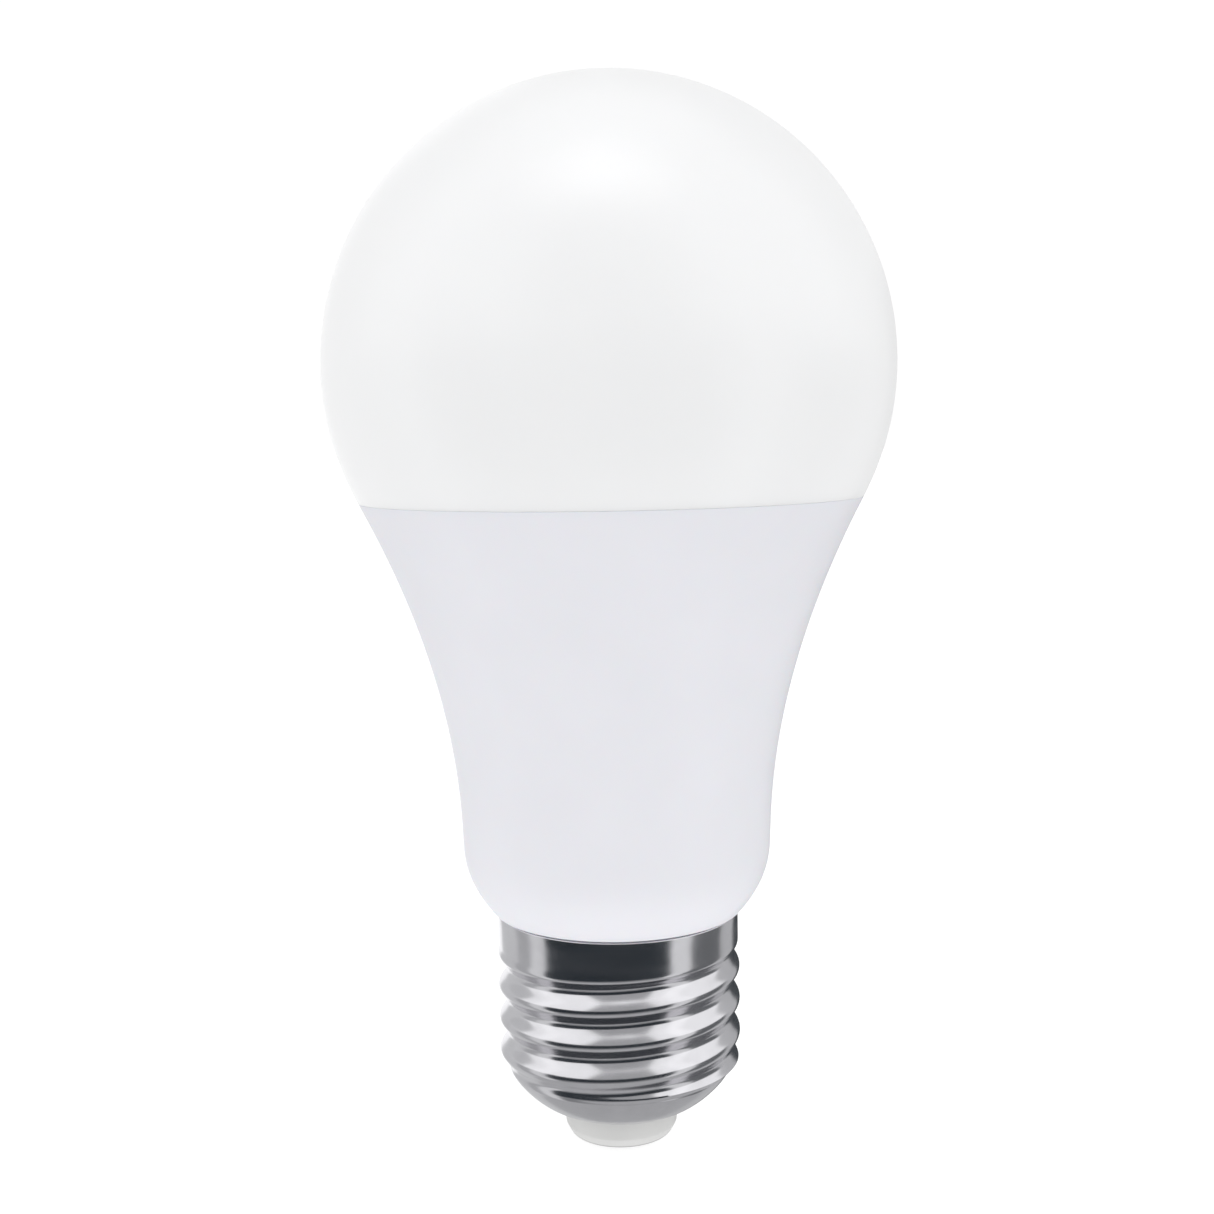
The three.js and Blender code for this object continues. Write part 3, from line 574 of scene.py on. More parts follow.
def colour_banded(centre, half):
    """A ceramic body with four colour bands and bare ends."""
    m = plastic("resistor_body", (0.28, 0.42, 0.45), (0.35, 0.5), grain=0.3)
    z = m.coordinate("Z")
    half_band = 0.25
    bands = [
        (-1.7, (0.5, 0.25, 0.03)), (-0.8, (0.02, 0.02, 0.02)),
        (0.1, (0.35, 0.03, 0.03)), (1.6, (0.6, 0.45, 0.1)),
    ]
    for offset, colour in bands:
        m.paint(m.within(z, centre.z + offset, half_band), colour)
    ends = m.maths("SUBTRACT", 1.0, m.within(z, centre.z, half))
    m.paint(ends, (0.6, 0.6, 0.6), 1.0)
    return m


def phosphor(name, colour):
    """Silicone filled with phosphor grains."""
    return plastic(
        name, colour, (0.3, 0.42), spread=0.08, cloud=0.25, grain=0.12, height=0.01,
        Subsurface_Weight=0.3, Subsurface_Scale=0.0003,
    )


# ---------- outer shells and screw cap

def globe_angle(radius, height):
    return math.degrees(math.asin((height - GLOBE_CENTRE) / radius))


def diffuser_globe():
    """The opal bulb: a sphere to the seam, a rounded rim, and the skirt that plugs into the housing."""
    rim = SEAM_HEIGHT + SEAM_GAP / 2
    inner = GLOBE_RADIUS - GLOBE_WALL
    web = SEAM_HEIGHT + GLOBE_WALL
    skirt_in, skirt_out = GLOBE_SKIRT
    edge = math.sqrt(GLOBE_RADIUS ** 2 - (GLOBE_CENTRE - rim) ** 2)
    inner_edge = math.sqrt(inner ** 2 - (GLOBE_CENTRE - web) ** 2)
    rim_corners = [
        (inner_edge, web, 0.3), (skirt_in, web, 0.4), (skirt_in, GLOBE_SKIRT_BOTTOM, 0.3),
        (skirt_out, GLOBE_SKIRT_BOTTOM, 0.3), (skirt_out, rim, 0.1), (edge, rim, 0.02),
    ]
    guide_in = (inner_edge + 0.5, web + 1.0, 0)
    guide_out = (edge + 0.5, rim + 1.0, 0)
    rim_line = rounded([guide_in, *rim_corners, guide_out])[1:-1]
    inside = arc((0, GLOBE_CENTRE), inner, 90, globe_angle(inner, web + 0.6), 44)
    outside = arc((0, GLOBE_CENTRE), GLOBE_RADIUS, globe_angle(GLOBE_RADIUS, rim + 0.3), 90, 64)
    outline = [(0, GLOBE_CENTRE + inner), *inside[1:], *rim_line, *outside[:-1], (0, TOTAL_HEIGHT)]
    return lathe(outline, ROUND)


def body_lines():
    """The flare from the seam down to the neck, and the rounded foot below it."""
    seam_radius = math.sqrt(GLOBE_RADIUS ** 2 - (GLOBE_CENTRE - SEAM_HEIGHT) ** 2)
    slope = (GLOBE_CENTRE - SEAM_HEIGHT) / seam_radius
    reach = (SEAM_HEIGHT - NECK_TOP[1]) / 3
    draft = (NECK_TOP[0] - NECK_BOTTOM[0]) / (NECK_TOP[1] - NECK_BOTTOM[1])
    flare = bezier(
        (seam_radius, SEAM_HEIGHT),
        (seam_radius - reach * slope, SEAM_HEIGHT - reach),
        (NECK_TOP[0] + reach * draft, NECK_TOP[1] + reach),
        NECK_TOP,
        48,
    )
    foot = bezier(
        NECK_BOTTOM,
        (NECK_BOTTOM[0] - 0.1, NECK_BOTTOM[1] - 2.8),
        (FOOT[0] + 1.9, FOOT[1] + 2.2),
        FOOT,
        16,
    )
    return flare, foot


def housing_shell():
    """The flared shell with a step for the globe's skirt, and its own skirt inside the cap."""
    flare, foot = body_lines()
    rim = SEAM_HEIGHT - SEAM_GAP / 2
    bore = GLOBE_SKIRT[1] + CLEARANCE
    collar_seat = COLLAR_RADIUS - SHEET - CLEARANCE
    thread_seat = THREAD_ROOT - SHEET - CLEARANCE
    outside = [p for p in flare if p[1] < rim - 0.35]
    inner_flare = [p for p in inset(flare, -HOUSING_WALL) if p[0] < bore - 0.3]
    inner_foot = [p for p in inset(foot, -HOUSING_WALL) if p[1] > FOOT[1] + 2]
    rim_line = rounded([
        (outside[0][0], outside[0][1], 0), (flare[0][0], rim, 0.02), (bore, rim, 0.2),
        (bore, inner_flare[0][1] + 0.4, 0),
    ])
    skirt = rounded([
        (HOUSING_SKIRT_BORE, FOOT[1] + 1, 0.5), (HOUSING_SKIRT_BORE, HOUSING_SKIRT_BOTTOM, 0.3),
        (thread_seat, HOUSING_SKIRT_BOTTOM, 0.3), (thread_seat, THREAD_START, 0.2),
        (collar_seat, THREAD_START + collar_seat - thread_seat, 0.2), (collar_seat, FOOT[1], 0.1),
        (FOOT[0], FOOT[1], 0.12), (foot[-3][0], foot[-3][1], 0),
    ])[:-1]
    outline = [*rim_line, *inner_flare, *inner_foot, *skirt, *reversed(foot[:-2]), *reversed(outside[1:])]
    return lathe(outline, ROUND)


def guide_rails():
    """Two slotted rails inside the neck that hold the driver board by its edges."""
    board = middle("driver_board").y
    wide, deep, tall = 3.6, 1.3, 13
    across = 12.7
    away = (BOARD_BACK - BOARD_FRONT) / 2 + CLEARANCE + deep / 2
    rail = moulded_block(wide, deep, tall, 0.3, 0.2)
    body = Body()
    for side in (-1, 1):
        for lip in (-1, 1):
            body.add(rail, (side * across, board + lip * away, NECK_BOTTOM[1] - 2.5))
    return body


def thread_shift(angle, height):
    """How far the rolled thread stands out of the plain cap. It climbs with the angle: right-handed."""
    turns = (height - THREAD_CREST_HEIGHT) / THREAD_PITCH - angle / (2 * math.pi)
    fade = smooth(height, THREAD_END, THREAD_BOTTOM) * (1 - smooth(height, THREAD_TOP, THREAD_START))
    return fade * (THREAD_CREST - THREAD_ROOT) / 2 * math.cos(2 * math.pi * turns)


def plain_cap_radius(height):
    """The cap without its thread: midway between crest and root, then the root below, the collar above."""
    mean = (THREAD_CREST + THREAD_ROOT) / 2
    drop = (mean - THREAD_ROOT) * (1 - smooth(height, THREAD_END, THREAD_BOTTOM))
    rise = (COLLAR_RADIUS - mean) * smooth(height, THREAD_TOP, THREAD_START)
    return mean - drop + rise


def cap_shell():
    """The nickel-plated cup: collar, rolled thread and rounded shoulder, in thin sheet."""
    shoulder = bezier(
        (THREAD_ROOT, THREAD_END),
        (THREAD_ROOT, THREAD_END - 0.8),
        (CAP_HOLE[0] + 2.4, CAP_HOLE[1]),
        CAP_HOLE,
        24,
    )
    rows = 80
    heights = [THREAD_END + (THREAD_START - THREAD_END) * i / rows for i in range(rows + 1)]
    side = [(plain_cap_radius(z), z) for z in heights]
    outside = [*reversed(shoulder[1:]), *side]
    inside = [*inset(list(reversed(shoulder)), SHEET)[:-1], *[(r - SHEET, z) for r, z in side]]
    top_edge = rounded([
        (COLLAR_RADIUS, CAP_TOP - 1.2, 0), (COLLAR_RADIUS, CAP_TOP, 0.14),
        (COLLAR_RADIUS - SHEET, CAP_TOP, 0.14), (COLLAR_RADIUS - SHEET, CAP_TOP - 1.2, 0),
    ])
    return lathe([*outside, *top_edge, *reversed(inside)], 180, thread_shift)


def cap_insulator():
    """The moulded button that carries the contact, with a flange behind the cap's hole."""
    throat = CAP_HOLE[0] - CLEARANCE
    face = low("cap_insulator").z
    flange_top = high("cap_insulator").z
    bore, flange = 1.7, 8.4
    return lathe(rounded([
        (bore, face, 0.1), (5.5, face, 0.5), (6.1, face + 1.1, 0.8), (throat, CAP_HOLE[1] - 0.25, 0.15),
        (throat, flange_top - 1.4, 0.3), (flange, flange_top - 1.1, 0.2), (flange, flange_top, 0.2),
        (bore, flange_top, 0.2),
    ]), 96)


def centre_contact():
    """A hollow rivet with a broad flat head."""
    top = high("centre_contact").z
    head, head_top = 3.6, 0.5
    rivet, bore, bore_bottom = 1.4, 0.8, 2.0
    outline = rounded([
        (2.7, 0.0, 0.5), (head, 0.2, 0.12), (head, head_top, 0.1), (rivet, head_top, 0.1),
        (rivet, top, 0.12), (bore, top, 0.12), (bore, bore_bottom, 0.2), (0.3, bore_bottom, 0),
    ])
    return lathe([(0, 0), *outline, (0, bore_bottom)], 64)


def outer_pieces():
    piece("globe", "opal_diffuser", opal_polycarbonate(), diffuser_globe(), "diffuser_globe")
    white = housing_plastic()
    piece("housing", "white_housing", white, housing_shell(), "housing_shell")
    guide_rails().finish("board_rails", "white_housing", [white])
    nickel = bright_nickel()
    piece("screw_cap", "nickel_cap", nickel, cap_shell(), "cap_shell")
    grey = plastic("insulator_plastic", (0.48, 0.48, 0.475), (0.38, 0.52), grain=0.5, height=0.006)
    piece("insulator", "insulator_plastic", grey, cap_insulator(), "cap_insulator")
    piece("contact_rivet", "nickel_contact", nickel, centre_contact(), "centre_contact")


# ---------- light engine

def heat_sink(aluminium):
    """The drawn cup that lines the flare, its flat top under the LED board."""
    flare, _ = body_lines()
    top, bottom = high("heat_sink_cup").z, low("heat_sink_cup").z
    depth = HOUSING_WALL + CLEARANCE
    sheet = 1.0
    line = inset(flare, -depth)
    outer = [p for p in line if bottom < p[1] < top - 1.2]
    inner = [p for p in inset(flare, -depth - sheet) if bottom < p[1] < top - 1.8]
    corner = line[0][0] + 0.2
    bend = rounded([(outer[0][0], outer[0][1], 0), (corner - 1.4, top, 1.0), (0, top, 0)])[1:-1]
    crease = rounded([
        (0, top - sheet, 0), (inner[0][0] - 0.1, top - sheet, 0.6), (inner[0][0], inner[0][1], 0),
    ])[1:-1]
    outline = [(0, top - sheet), *crease, *inner, *reversed(outer), *bend, (0, top)]
    cup = piece("heat_sink", "heat_sink_aluminium", aluminium, lathe(outline, 96), "heat_sink_cup")
    module = middle("wifi_board")
    holes = [moved(rod(SCREW_HOLE, top - 3, top + 2), *place) for place in screw_places()]
    half = 8.8
    window = block((-half, module.y - 1.4, top - 2), (half, module.y + 3.8, top + 1))
    return cut(cup, window, *holes)


def screw_places():
    return [base(f"board_screw_{number}")[:2] for number in (1, 2, 3)]


def led_board(mask):
    """The white aluminium-cored disc with its slot for the Wi-Fi board, and holes for screws and pins."""
    bottom, top = low("led_board").z, high("led_board").z
    radius = high("led_board").x
    edge = 0.12
    disc = lathe(rounded([(0, bottom, 0), (radius, bottom, edge), (radius, top, edge), (0, top, 0)]), 128)
    board = piece("led_disc", "led_board", mask, disc, "led_board")
    below, above = bottom - 1, top + 1
    module = high("wifi_board")
    slot = block((-module.x - 0.6, -module.y - 0.3, below), (module.x + 0.6, module.y + 0.3, above))
    holes = [moved(rod(SCREW_HOLE, below, above), *place) for place in screw_places()]
    pins = [moved(rod(PIN_HOLE, below, above), *place) for place in pin_places()]
    return cut(board, slot, *holes, *pins)


def pin_places():
    """Where the four pins pass from the driver up into the LED board's socket, as (x, y)."""
    row = middle("board_connector").y - 0.05
    return [(step * PIN_PITCH, row) for step in (-1.5, -0.5, 0.5, 1.5)]


def led_packages(body_white, warm, cool, solder):
    """Sixteen packages: a white frame round a sunk window of phosphor. Their solder is one piece."""
    wide, deep, height = 2.8, 3.5, 0.65
    shell = stepped_block(wide, deep, [
        (0, 0.12, 0), (0, 0.12, height * 0.55), (0.1, 0.14, height), (0.45, 0.25, height),
        (0.7, 0.3, height - 0.22),
    ])
    window = stepped_block(wide, deep, [
        (0.72, 0.3, height - 0.22), (0.62, 0.3, height - 0.09), (1.4, 0.35, height - 0.05),
    ])
    fillet = moulded_block(2.2, 0.5, 0.22, 0.12, 0.1)
    fillet_bottom = high("led_board").z + 0.01
    joints = Body()
    for i in range(LED_COUNT):
        tone, glow = (("warm", warm), ("cool", cool))[i % 2]
        number = i // 2 + 1
        node = f"led_{tone}_{number}"
        place = base(node)
        x, y, _ = place
        turn = Matrix.Rotation(math.atan2(y, x), 4, "Z")
        led = Body().add(shell, place, 0, turn).add(window, place, 1, turn)
        led.finish(f"{tone}_led_{number}", f"led_{tone}", [body_white, glow], node)
        for end in (-1, 1):
            spot = turn @ Vector((0, end * (deep / 2 + 0.3), 0))
            joints.add(fillet, (x + spot.x, y + spot.y, fillet_bottom), 0, turn)
    joints.finish("led_solder", "shield_steel", [solder])


def board_screws(steel):
    """Pan-head screws with a cross recess and a rolled thread."""
    bottom, top = low("board_screw_1").z, high("board_screw_1").z
    head = top - 1.4
    radius, pitch, depth = 1.25, 0.7, 0.16

    def screw_thread(angle, z):
        fade = smooth(z, bottom, bottom + 1) * (1 - smooth(z, head - 1.0, head - 0.4))
        return fade * depth * (math.cos(2 * math.pi * (z / pitch - angle / (2 * math.pi))) - 1)

    shank = [(radius, bottom + 1 + (head - bottom - 1) * i / 44) for i in range(44)]
    outline = [
        (0, bottom), (0.65, bottom + 0.1), *shank, (radius, head), (2.3, head), (2.4, head + 0.12),
        (2.4, head + 0.45), *arc((0.95, head), 1.4, 25, 90, 8)[:-1], (0.95, top), (0, top),
    ]
    solid = lathe(outline, 28, screw_thread)
    recess = cross(1.3, 0.22, top - 0.8, top + 0.3)
    for i, (x, y) in enumerate(screw_places(), 1):
        screw = piece(f"pan_screw_{i}", "screw_steel", steel, solid, f"board_screw_{i}", (x, y, 0))
        cut(screw, *[moved(bar, x, y) for bar in recess])


# ---------- driver

def electrolytic(name, node, aluminium):
    """A can in its sleeve: rubber end, rolled groove, and a scored bare top."""
    radius = extent(node).x / 2
    height = extent(node).z
    lid = radius - 0.8
    shoulder = height - 0.1
    can = lathe(rounded([
        (0, 0, 0), (radius - 0.5, 0, 0.1), (radius, 0.35, 0.2), (radius, 1.35, 0.15),
        (radius - 0.4, 1.75, 0.3), (radius, 2.2, 0.15), (radius, shoulder, 0.35), (lid, shoulder, 0),
        (0, shoulder, 0),
    ]))
    cover = lathe(rounded([
        (0, height - 0.3, 0), (lid, height - 0.3, 0), (lid, height, 0.08), (0, height, 0),
    ]))
    place = base(node)
    body = Body().add(can, place, 0).add(cover, place, 1)
    part = body.finish(name, "capacitor_sleeve", [capacitor_sleeve(middle(node)), aluminium], node)
    x, y, z = place
    top = z + height
    return cut(part, *[moved(bar, x, y) for bar in cross(lid * 0.8, 0.12, top - 0.1, top + 0.3)])


def chips(epoxy_black, tin):
    """Moulded packages on the back of the driver board, each with its bent leads."""
    rows = {
        "bridge_rectifier": (3.9, 2, 2.54), "driver_chip": (3.9, 4, 1.27),
        "warm_channel_mosfet": (2.6, 2, 1.9), "cool_channel_mosfet": (2.6, 2, 1.9),
    }
    for node, (wide, legs, pitch) in rows.items():
        centre = middle(node)
        face = BOARD_BACK + 0.05
        stand_off = 0.15
        thick = high(node).y - face - stand_off
        package = moulded_block(wide, extent(node).z, thick, 0.15, 0.1, 0.12)
        body = Body().add(package, (centre.x, face + stand_off, centre.z), 0, TO_BACK)
        for i in range(legs):
            z = centre.z + (i - (legs - 1) / 2) * pitch
            for side in (-1, 1):
                x = centre.x + side * (wide / 2 - 0.1)
                bend = [(0, 0.5), (0.45, 0.5), (0.55, 0.42), (0.65, 0.08), (0.75, 0.0), (1.0, 0.0)]
                leg = lead([(x + side * across, face + 0.12 + rise) for across, rise in bend], 0.4, 0.16)
                body.add(leg, (0, 0, z), 1)
        body.finish(node + "_package", "chip_epoxy", [epoxy_black, tin], node, sharp=30)


def transformer(ferrite, bobbin, tape):
    """The CAD's core, with a flanged bobbin and a taped winding in it."""
    centre = middle("transformer_core")
    finish_node("transformer_core", ferrite, 0.25)
    half = extent("transformer_spool").z / 2
    spool = rounded([
        (3.15, -half, 0.1), (5.4, -half, 0.15), (5.4, 0.6 - half, 0.15), (3.6, 0.6 - half, 0.1),
        (3.6, half - 0.6, 0.1), (5.4, half - 0.6, 0.15), (5.4, half, 0.15), (3.15, half, 0.1),
    ])
    piece("bobbin", "spool_plastic", bobbin, lathe(spool), "transformer_spool", centre)
    end = extent("transformer_winding").z / 2
    turns = 14
    pitch = 2 * end / turns
    ridges = []
    for i in range(turns):
        ridges += arc((5.1 - pitch / 2, -end + pitch * (i + 0.5)), pitch / 2, -80, 80, 4)
    winding = [(3.9, -end), (4.7, -end), *ridges, (4.7, end), (3.9, end)]
    piece("winding", "winding_tape", tape, lathe(winding), "transformer_winding", centre)


def leads_and_solder(tin):
    """Wire leads from the through-hole parts into the board, and the solder cone on each."""
    leads, cones = Body(), Body()
    cone = lathe([(0, 0), (0.85, 0), (0.75, 0.12), (0.4, 0.4), (0.28, 0.8), (0, 0.85)], 20)

    def through(x, y, z, drop):
        near, far = (BOARD_FRONT, BOARD_BACK) if y < BOARD_FRONT else (BOARD_BACK, BOARD_FRONT)
        foot = z - drop
        bend = [(x, y, z), (x, y, z - drop * 0.6), (x, (y + near) / 2, foot), (x, near, foot)]
        leads.add(tube(bend, LEAD_RADIUS, 8, 4))
        cones.add(cone, (x, far, foot), 0, TO_BACK if far == BOARD_BACK else TO_FRONT)

    for node, spread in (("bulk_capacitor", 1.75), ("output_capacitor", 1.25), ("filter_inductor", 1.25)):
        foot = base(node)
        for side in (-1, 1):
            through(foot[0] + side * spread, foot[1], foot[2] + 0.1, 1.1)
    film = base("film_capacitor")
    for side in (-1, 1):
        through(film[0] + side * 2.5, film[1] + 1.0, film[2] + 0.1, 0.9)
    leads.finish("component_leads", "shield_steel", [tin])
    cones.finish("solder_joints", "shield_steel", [tin])


def resistor_outline(length):
    """A bead with a thick end cap and a wire at each end."""
    end = [(0.3, 0), (0.3, 1.2), (0.9, 1.3), (1.3, 1.55), (1.4, 2.0), (1.36, 2.6), (1.3, 3.2)]
    return [(0, 0), *end, *[(r, length - z) for r, z in reversed(end)], (0, length)]


def small_parts():
    """Inductor, film capacitor, varistor and fusible resistor."""
    shrink = plastic("shrink_sleeve", (0.02, 0.02, 0.022), (0.35, 0.5), grain=0.8, height=0.02)
    inductor = rounded([
        (0, 0, 0), (3, 0, 0.25), (3, 1.1, 0.3), (2.5, 1.5, 0.5),
        (2.5, 6.5, 0.5), (3, 6.9, 0.3), (3, 8, 0.25), (0, 8, 0),
    ])
    standing_piece("choke", "ferrite", shrink, lathe(inductor), "filter_inductor")

    film = plastic("film_box", (0.55, 0.36, 0.035), (0.31, 0.4), grain=0.6, height=0.008)
    box = moulded_block(*extent("film_capacitor"), 0.6, 0.3, 0.08)
    standing_piece("film_capacitor_box", "film_box", film, box, "film_capacitor")

    blue = plastic("varistor_epoxy", (0.03, 0.12, 0.42), (0.16, 0.24), grain=0.7, height=0.03)
    radius, thickness = 3.3, extent("varistor").y
    disc = rounded([(0, 0, 0), (radius, 0, 0.9), (radius, thickness, 0.9), (0, thickness, 0)], 6)
    centre = middle("varistor")
    place = (centre.x, high("varistor").y, centre.z)
    piece("varistor_disc", "varistor_blue", blue, lathe(disc), "varistor", place, TO_FRONT)

    node = "fusible_resistor"
    length = extent(node).z
    banded = colour_banded(middle(node), length / 2 - 1.35)
    body = lathe(resistor_outline(length), 32)
    standing_piece("resistor", "resistor_body", banded, body, node, sharp=60)


def wifi_module(steel, gold):
    """The shield can, the meandering antenna at the top of the board, and the plated pads at its foot."""
    can = moulded_block(*extent("wifi_shield_can"), 0.35, 0.25)
    standing_piece("shield_can", "shield_steel", steel, can, "wifi_shield_can")
    board = high("wifi_board")
    face = low("wifi_board").y
    width, foil = 0.5, 0.06
    top = board.z - 1.6
    left, right, step = 5.6, -5.6, 1.6
    copper = Body()
    corners = [(left, top - 8.5), (left, top)]
    x = left
    drop = 4.2
    while x - step > right:
        x -= step
        corners += [(x, corners[-1][1]), (x, top - drop if corners[-1][1] == top else top)]
    for (ax, az), (bx, bz) in zip(corners, corners[1:]):
        wide = abs(ax - bx) + width
        tall = abs(az - bz) + width
        strip = moulded_block(wide, foil, tall, 0.02, 0.02)
        copper.add(strip, ((ax + bx) / 2, face - foil / 2, min(az, bz) - width / 2))
    pad = moulded_block(1.2, foil, 1.4, 0.02, 0.02)
    for x, _ in pin_places():
        copper.add(pad, (x, face - foil / 2, low("wifi_board").z + 0.2))
    copper.finish("antenna", "nickel_contact", [gold])


def headers(black, tin):
    """The row of pins from the driver up to the LED board, with its base, and the radio module's strip."""
    header = Body()
    bottom = low("led_pin_header").z
    moulding = moulded_block(10.4, 1.8, 2.3, 0.2, 0.15)
    header.add(moulding, (0, middle("led_pin_header").y, bottom + 0.7), 0)
    pin = moulded_block(0.6, 0.6, extent("led_pin_header").z, 0.08, 0.15)
    for x, y in pin_places():
        header.add(pin, (x, y, bottom), 1)
    header.finish("pin_header", "header_black", [black, tin], "led_pin_header")
    strip = moulded_block(*extent("wifi_pin_header"), 0.2, 0.15)
    standing_piece("module_header", "header_black", black, strip, "wifi_pin_header")


def wires():
    """Live from the rivet's bore and neutral from the inside of the cap, to the driver board's tail."""
    live = [(0, 0, 2.8), (0, 0, 8.4), (0.6, 0.2, 11.4), (2.2, 1.4, 14.1), (2.6, 2.5, 17.4)]
    neutral = [
        (-6.2, 2.5, 17.7), (-6.6, 2, 14.5), (-8.6, 0.8, 11.9),
        (-10.5, 0, 12.3), (-11.05, 0, 14.5), (-11.05, 0, 17.9),
    ]
    copper = metal("stranded_copper", (0.72, 0.36, 0.2), (0.31, 0.4))
    for name, node, slot, route, colour in (
        ("live_lead", "live_wire", "wire_red", live, (0.42, 0.025, 0.02)),
        ("neutral_lead", "neutral_wire", "wire_black", neutral, (0.022, 0.022, 0.025)),
    ):
        sleeve = plastic(name + "_sleeve", colour, (0.4, 0.55), grain=0.5, height=0.008)
        x, y, z = route[-1]
        bare = [(x, y, z - 0.2), (x, y, z + 0.35)]
        body = Body().add(tube(route, WIRE_RADIUS, 16, 8)).add(tube(bare, LEAD_RADIUS, 10), paint=1)
        body.finish(name, slot, [sleeve, copper], node)


def finish_node(name, look, edge_mm):
    """A CAD node that keeps its shape gets its material and softened edges."""
    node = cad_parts[name]
    node.data.materials.clear()
    node.data.materials.append(look.material)
    bevel = node.modifiers.new("soft_edges", "BEVEL")
    bevel.width = edge_mm * MM
    bevel.segments = 3
    bevel.limit_method = "ANGLE"
    bevel.angle_limit = math.radians(35)


def inner_pieces():
    drawn = (1, 1, 0.2)
    aluminium = metal("drawn_aluminium", (0.74, 0.75, 0.76), (0.31, 0.42), grain=0.4, stretch=drawn)
    tin = metal("tinned_metal", (0.62, 0.62, 0.6), (0.17, 0.25), grain=0.2)
    steel = metal("zinc_steel", (0.58, 0.59, 0.6), (0.31, 0.4), grain=0.3, stretch=(1, 0.3, 1))
    gold = metal("gold_plating", (0.85, 0.62, 0.25), (0.17, 0.25), grain=0.2)
    white_mask = solder_mask("white_solder_mask", (0.74, 0.74, 0.71), (0.83, 0.83, 0.8), 6.0, 0.25)
    green_mask = solder_mask("green_solder_mask", (0.012, 0.1, 0.045), (0.025, 0.18, 0.08), 4.5, 0.4)
    black_mask = solder_mask("black_solder_mask", (0.012, 0.012, 0.014), (0.026, 0.026, 0.03), 2.6, 0.25)
    ceramic_white = plastic("led_frame", (0.82, 0.82, 0.8), (0.35, 0.5), grain=0.3)
    epoxy = plastic("chip_epoxy", (0.018, 0.018, 0.02), (0.5, 0.65), grain=0.12, height=0.006)
    black = plastic("header_black", (0.02, 0.02, 0.02), (0.4, 0.55), grain=0.25, height=0.005)
    nylon = plastic("natural_nylon", (0.78, 0.76, 0.7), (0.35, 0.5), Subsurface_Weight=0.1)
    silicone = plastic("white_silicone", (0.78, 0.78, 0.76), (0.4, 0.55), grain=0.9, height=0.03)
    film = plastic("insulation_film", (0.7, 0.71, 0.68), (0.31, 0.4), grain=3.0, height=0.03)
    ferrite = plastic(
        "ferrite_ceramic", (0.035, 0.035, 0.037), (0.5, 0.7), spread=0.2, grain=0.15, height=0.012,
    )
    tape = plastic("polyester_tape", (0.6, 0.42, 0.06), (0.31, 0.4), grain=1.2, height=0.01)

    heat_sink(aluminium)
    led_board(white_mask)
    warm = phosphor("warm_phosphor", (0.82, 0.42, 0.06))
    cool = phosphor("cool_phosphor", (0.85, 0.68, 0.16))
    led_packages(ceramic_white, warm, cool, tin)
    board_screws(steel)
    finish_node("board_connector", nylon, 0.12)
    centre = (high("seal_bead").x - 0.5, middle("seal_bead").z)
    bead = arc(centre, extent("seal_bead").z / 2 + 0.06, 0, 345, 23)
    piece("silicone_bead", "silicone", silicone, lathe(bead, 128), "seal_bead")

    finish_node("driver_board", green_mask, 0.08)
    finish_node("wifi_board", black_mask, 0.05)
    lower, upper = low("insulation_sleeve"), high("insulation_sleeve")
    inside, outside = 13.9, 14.3
    sleeve = lathe(rounded([
        (inside, lower.z, 0.1), (outside, lower.z, 0.1), (outside, upper.z, 0.1), (inside, upper.z, 0.1),
    ]), 96)
    piece("film_sleeve", "insulation_film", film, sleeve, "insulation_sleeve")
    electrolytic("mains_capacitor", "bulk_capacitor", aluminium)
    electrolytic("low_voltage_capacitor", "output_capacitor", aluminium)
    small_parts()
    chips(epoxy, tin)
    transformer(ferrite, black, tape)
    leads_and_solder(tin)
    wifi_module(steel, gold)
    headers(black, tin)
    wires()


# ---------- studio

# What the metal and the gloss reflect: (azimuths, elevations, level), in degrees, each laid over the last.
# Azimuth 0 is the camera's side, and azimuths grow towards +X. Level 1 is the room's white.
REFLECTED = [
    ((-180, 180), (-90, 12), 0.6),
    ((112, 180), (-90, 62), 0.5),
    ((-180, -106), (12, 62), 0.55),
    ((-112, 112), (-90, 12), 0.95),
    ((-112, -91), (-50, 10), 0.42),
    ((71, 112), (-50, 10), 0.13),
    ((-73, 49), (-50, 16), 0.19),
    ((-73, 49), (-30, 14), 0.02),
    ((-33, 31), (16, 62), 0.38),
    ((-180, 180), (-90, -48), 0.42),
    ((-91, -75), (-46, 12), 0.72),
    ((52, 71), (-46, 12), 0.78),
    ((-91, -75), (12, 60), 1.1),
    ((52, 71), (12, 60), 1.15),
    ((140, 176), (-30, 16), 0.05),
    ((-172, -150), (-30, 40), 1.1),
    ((-60, 50), (64, 88), 2.8),
]
PATCH_SOFTNESS = 3.0
COOL_TINT = 0.006

# The camera: its place in metres, and its downward tilt, roll and half field of view in degrees.
CAMERA_PLACE = (-0.00063, -0.17575, 0.07863)
CAMERA_TILT = 6.4
CAMERA_ROLL = 1.0
HALF_VIEW = 20.2


def reflected_level(azimuth, elevation):
    """How bright the room looks in one direction, its patches' edges blurred."""
    level = 1.0
    half = PATCH_SOFTNESS / 2
    for azimuths, elevations, brightness in REFLECTED:
        mask = 1.0
        for value, (start, end), whole in ((azimuth, azimuths, 360), (elevation, elevations, 180)):
            if end - start < whole:
                mask *= smooth(value, start - half, start + half)
                mask *= 1 - smooth(value, end - half, end + half)
        level += (brightness - level) * mask
    return level


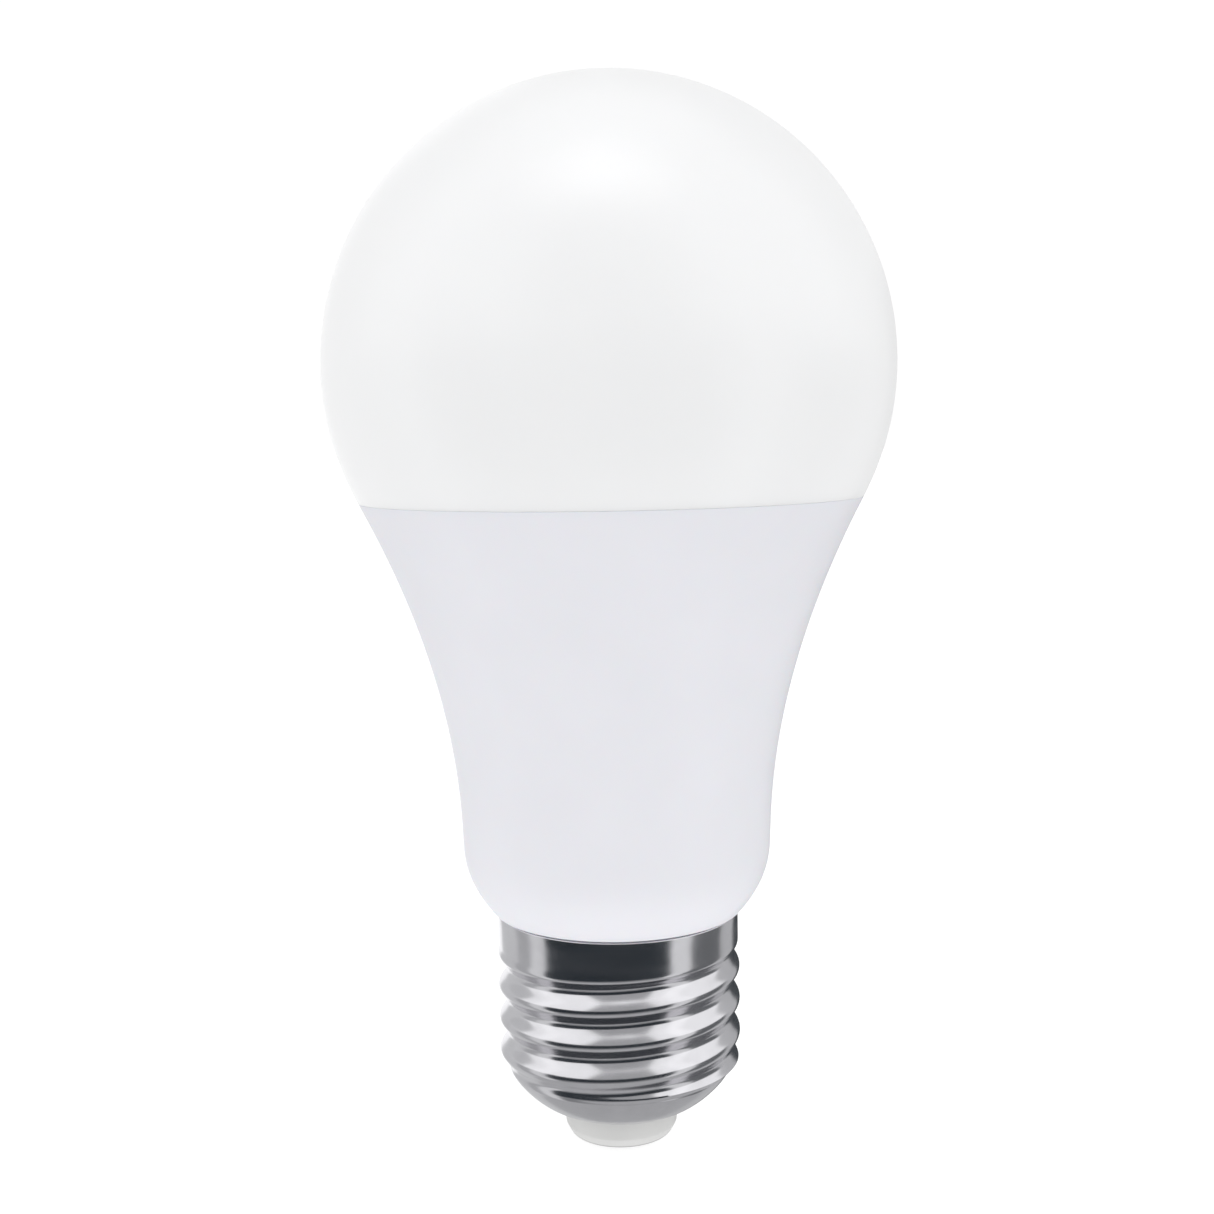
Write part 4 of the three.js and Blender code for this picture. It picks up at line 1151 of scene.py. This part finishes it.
def reflected_room():
    """A dome round the lamp, seen in reflections alone."""
    across, up, distance = 240, 120, 0.8
    vertices, levels, faces = [], [], []
    for j in range(up + 1):
        elevation = -90 + 180 * j / up
        for i in range(across + 1):
            azimuth = -180 + 360 * i / across
            a, e = math.radians(azimuth), math.radians(elevation)
            direction = Vector((math.cos(e) * math.sin(a), -math.cos(e) * math.cos(a), math.sin(e)))
            vertices.append(direction * distance)
            level = reflected_level(azimuth, elevation)
            levels += (level - COOL_TINT, level, level + COOL_TINT, 1)
    for j in range(up):
        for i in range(across):
            k = j * (across + 1) + i
            faces.append((k, k + 1, k + across + 2, k + across + 1))
    room = mesh_in_scene("reflected_room", vertices, faces)
    mesh = room.data
    mesh.color_attributes.new("level", "FLOAT_COLOR", "POINT").data.foreach_set("color", levels)
    material = bpy.data.materials.new("reflected_room")
    material.use_nodes = True
    material.cycles.emission_sampling = "NONE"
    tree = material.node_tree
    tree.nodes.clear()
    level = tree.nodes.new("ShaderNodeAttribute")
    level.attribute_name = "level"
    glow = tree.nodes.new("ShaderNodeEmission")
    output = tree.nodes.new("ShaderNodeOutputMaterial")
    tree.links.new(level.outputs["Color"], glow.inputs["Color"])
    tree.links.new(glow.outputs["Emission"], output.inputs["Surface"])
    mesh.materials.append(material)
    for ray in ("camera", "diffuse", "shadow", "transmission", "volume_scatter"):
        setattr(room, "visible_" + ray, False)


def softbox(name, place, target, size, watts):
    """A soft light that isn't seen, nor reflected."""
    light = bpy.data.lights.new(name, "AREA")
    light.shape = "RECTANGLE"
    light.size, light.size_y = size
    light.energy = watts
    box = in_scene(name, light)
    box.location = place
    box.rotation_euler = (Vector(target) - Vector(place)).to_track_quat("-Z", "Y").to_euler()
    box.visible_glossy = False
    box.visible_camera = False


def floor():
    """A pale floor that glows a little, like a light table, so the lamp's shadow on it stays faint."""
    reach = 4.0
    corners = [(-reach, -reach, 0), (reach, -reach, 0), (reach, reach, 0), (-reach, reach, 0)]
    plane = mesh_in_scene("floor", corners, [(0, 1, 2, 3)])
    pale = Nodes(
        "pale_floor", Base_Color=(0.3, 0.3, 0.3, 1), Roughness=0.9, Emission_Color=(1, 1, 1, 1),
        Emission_Strength=0.84,
    )
    plane.data.materials.append(pale.material)
    plane.visible_glossy = False
    plane.visible_diffuse = False
    plane.visible_shadow = False


def sky():
    """Even white light from above the horizon, and a dimmer fill from below it."""
    world = bpy.data.worlds.new("studio")
    bpy.context.scene.world = world
    world.use_nodes = True
    tree = world.node_tree
    background = tree.nodes["Background"]
    direction = tree.nodes.new("ShaderNodeTexCoord")
    split = tree.nodes.new("ShaderNodeSeparateXYZ")
    level = tree.nodes.new("ShaderNodeMapRange")
    level.interpolation_type = "SMOOTHSTEP"
    set_inputs(level, From_Min=-0.35, From_Max=-0.06, To_Min=0.98, To_Max=1.02)
    tree.links.new(direction.outputs["Generated"], split.inputs["Vector"])
    tree.links.new(split.outputs["Z"], level.inputs["Value"])
    tree.links.new(level.outputs["Result"], background.inputs["Strength"])
    set_inputs(background, Color=(1, 1, 1, 1))


def studio_camera():
    """In front of the lamp, a little above its middle and looking slightly down, with a small roll."""
    data = bpy.data.cameras.new("camera")
    data.sensor_width = 36
    data.lens = data.sensor_width / 2 / math.tan(math.radians(HALF_VIEW))
    camera = in_scene("camera", data)
    camera.location = CAMERA_PLACE
    tilt = Matrix.Rotation(math.radians(90 - CAMERA_TILT), 3, "X")
    roll = Matrix.Rotation(math.radians(-CAMERA_ROLL), 3, "Z")
    camera.rotation_euler = (tilt @ roll).to_euler()
    data.clip_start = 0.01
    data.clip_end = 20
    bpy.context.scene.camera = camera


outer_pieces()
inner_pieces()
floor()
sky()
softbox("softbox_top", place=(0.0, -0.2, 0.75), target=(0, 0, 0.08), size=(0.8, 0.45), watts=0.25)
softbox("table_glow", place=(0, 0, 0.001), target=(0, 0, 1), size=(0.06, 0.06), watts=0.008)
reflected_room()
studio_camera()
bpy.context.scene.view_settings.view_transform = "Standard"
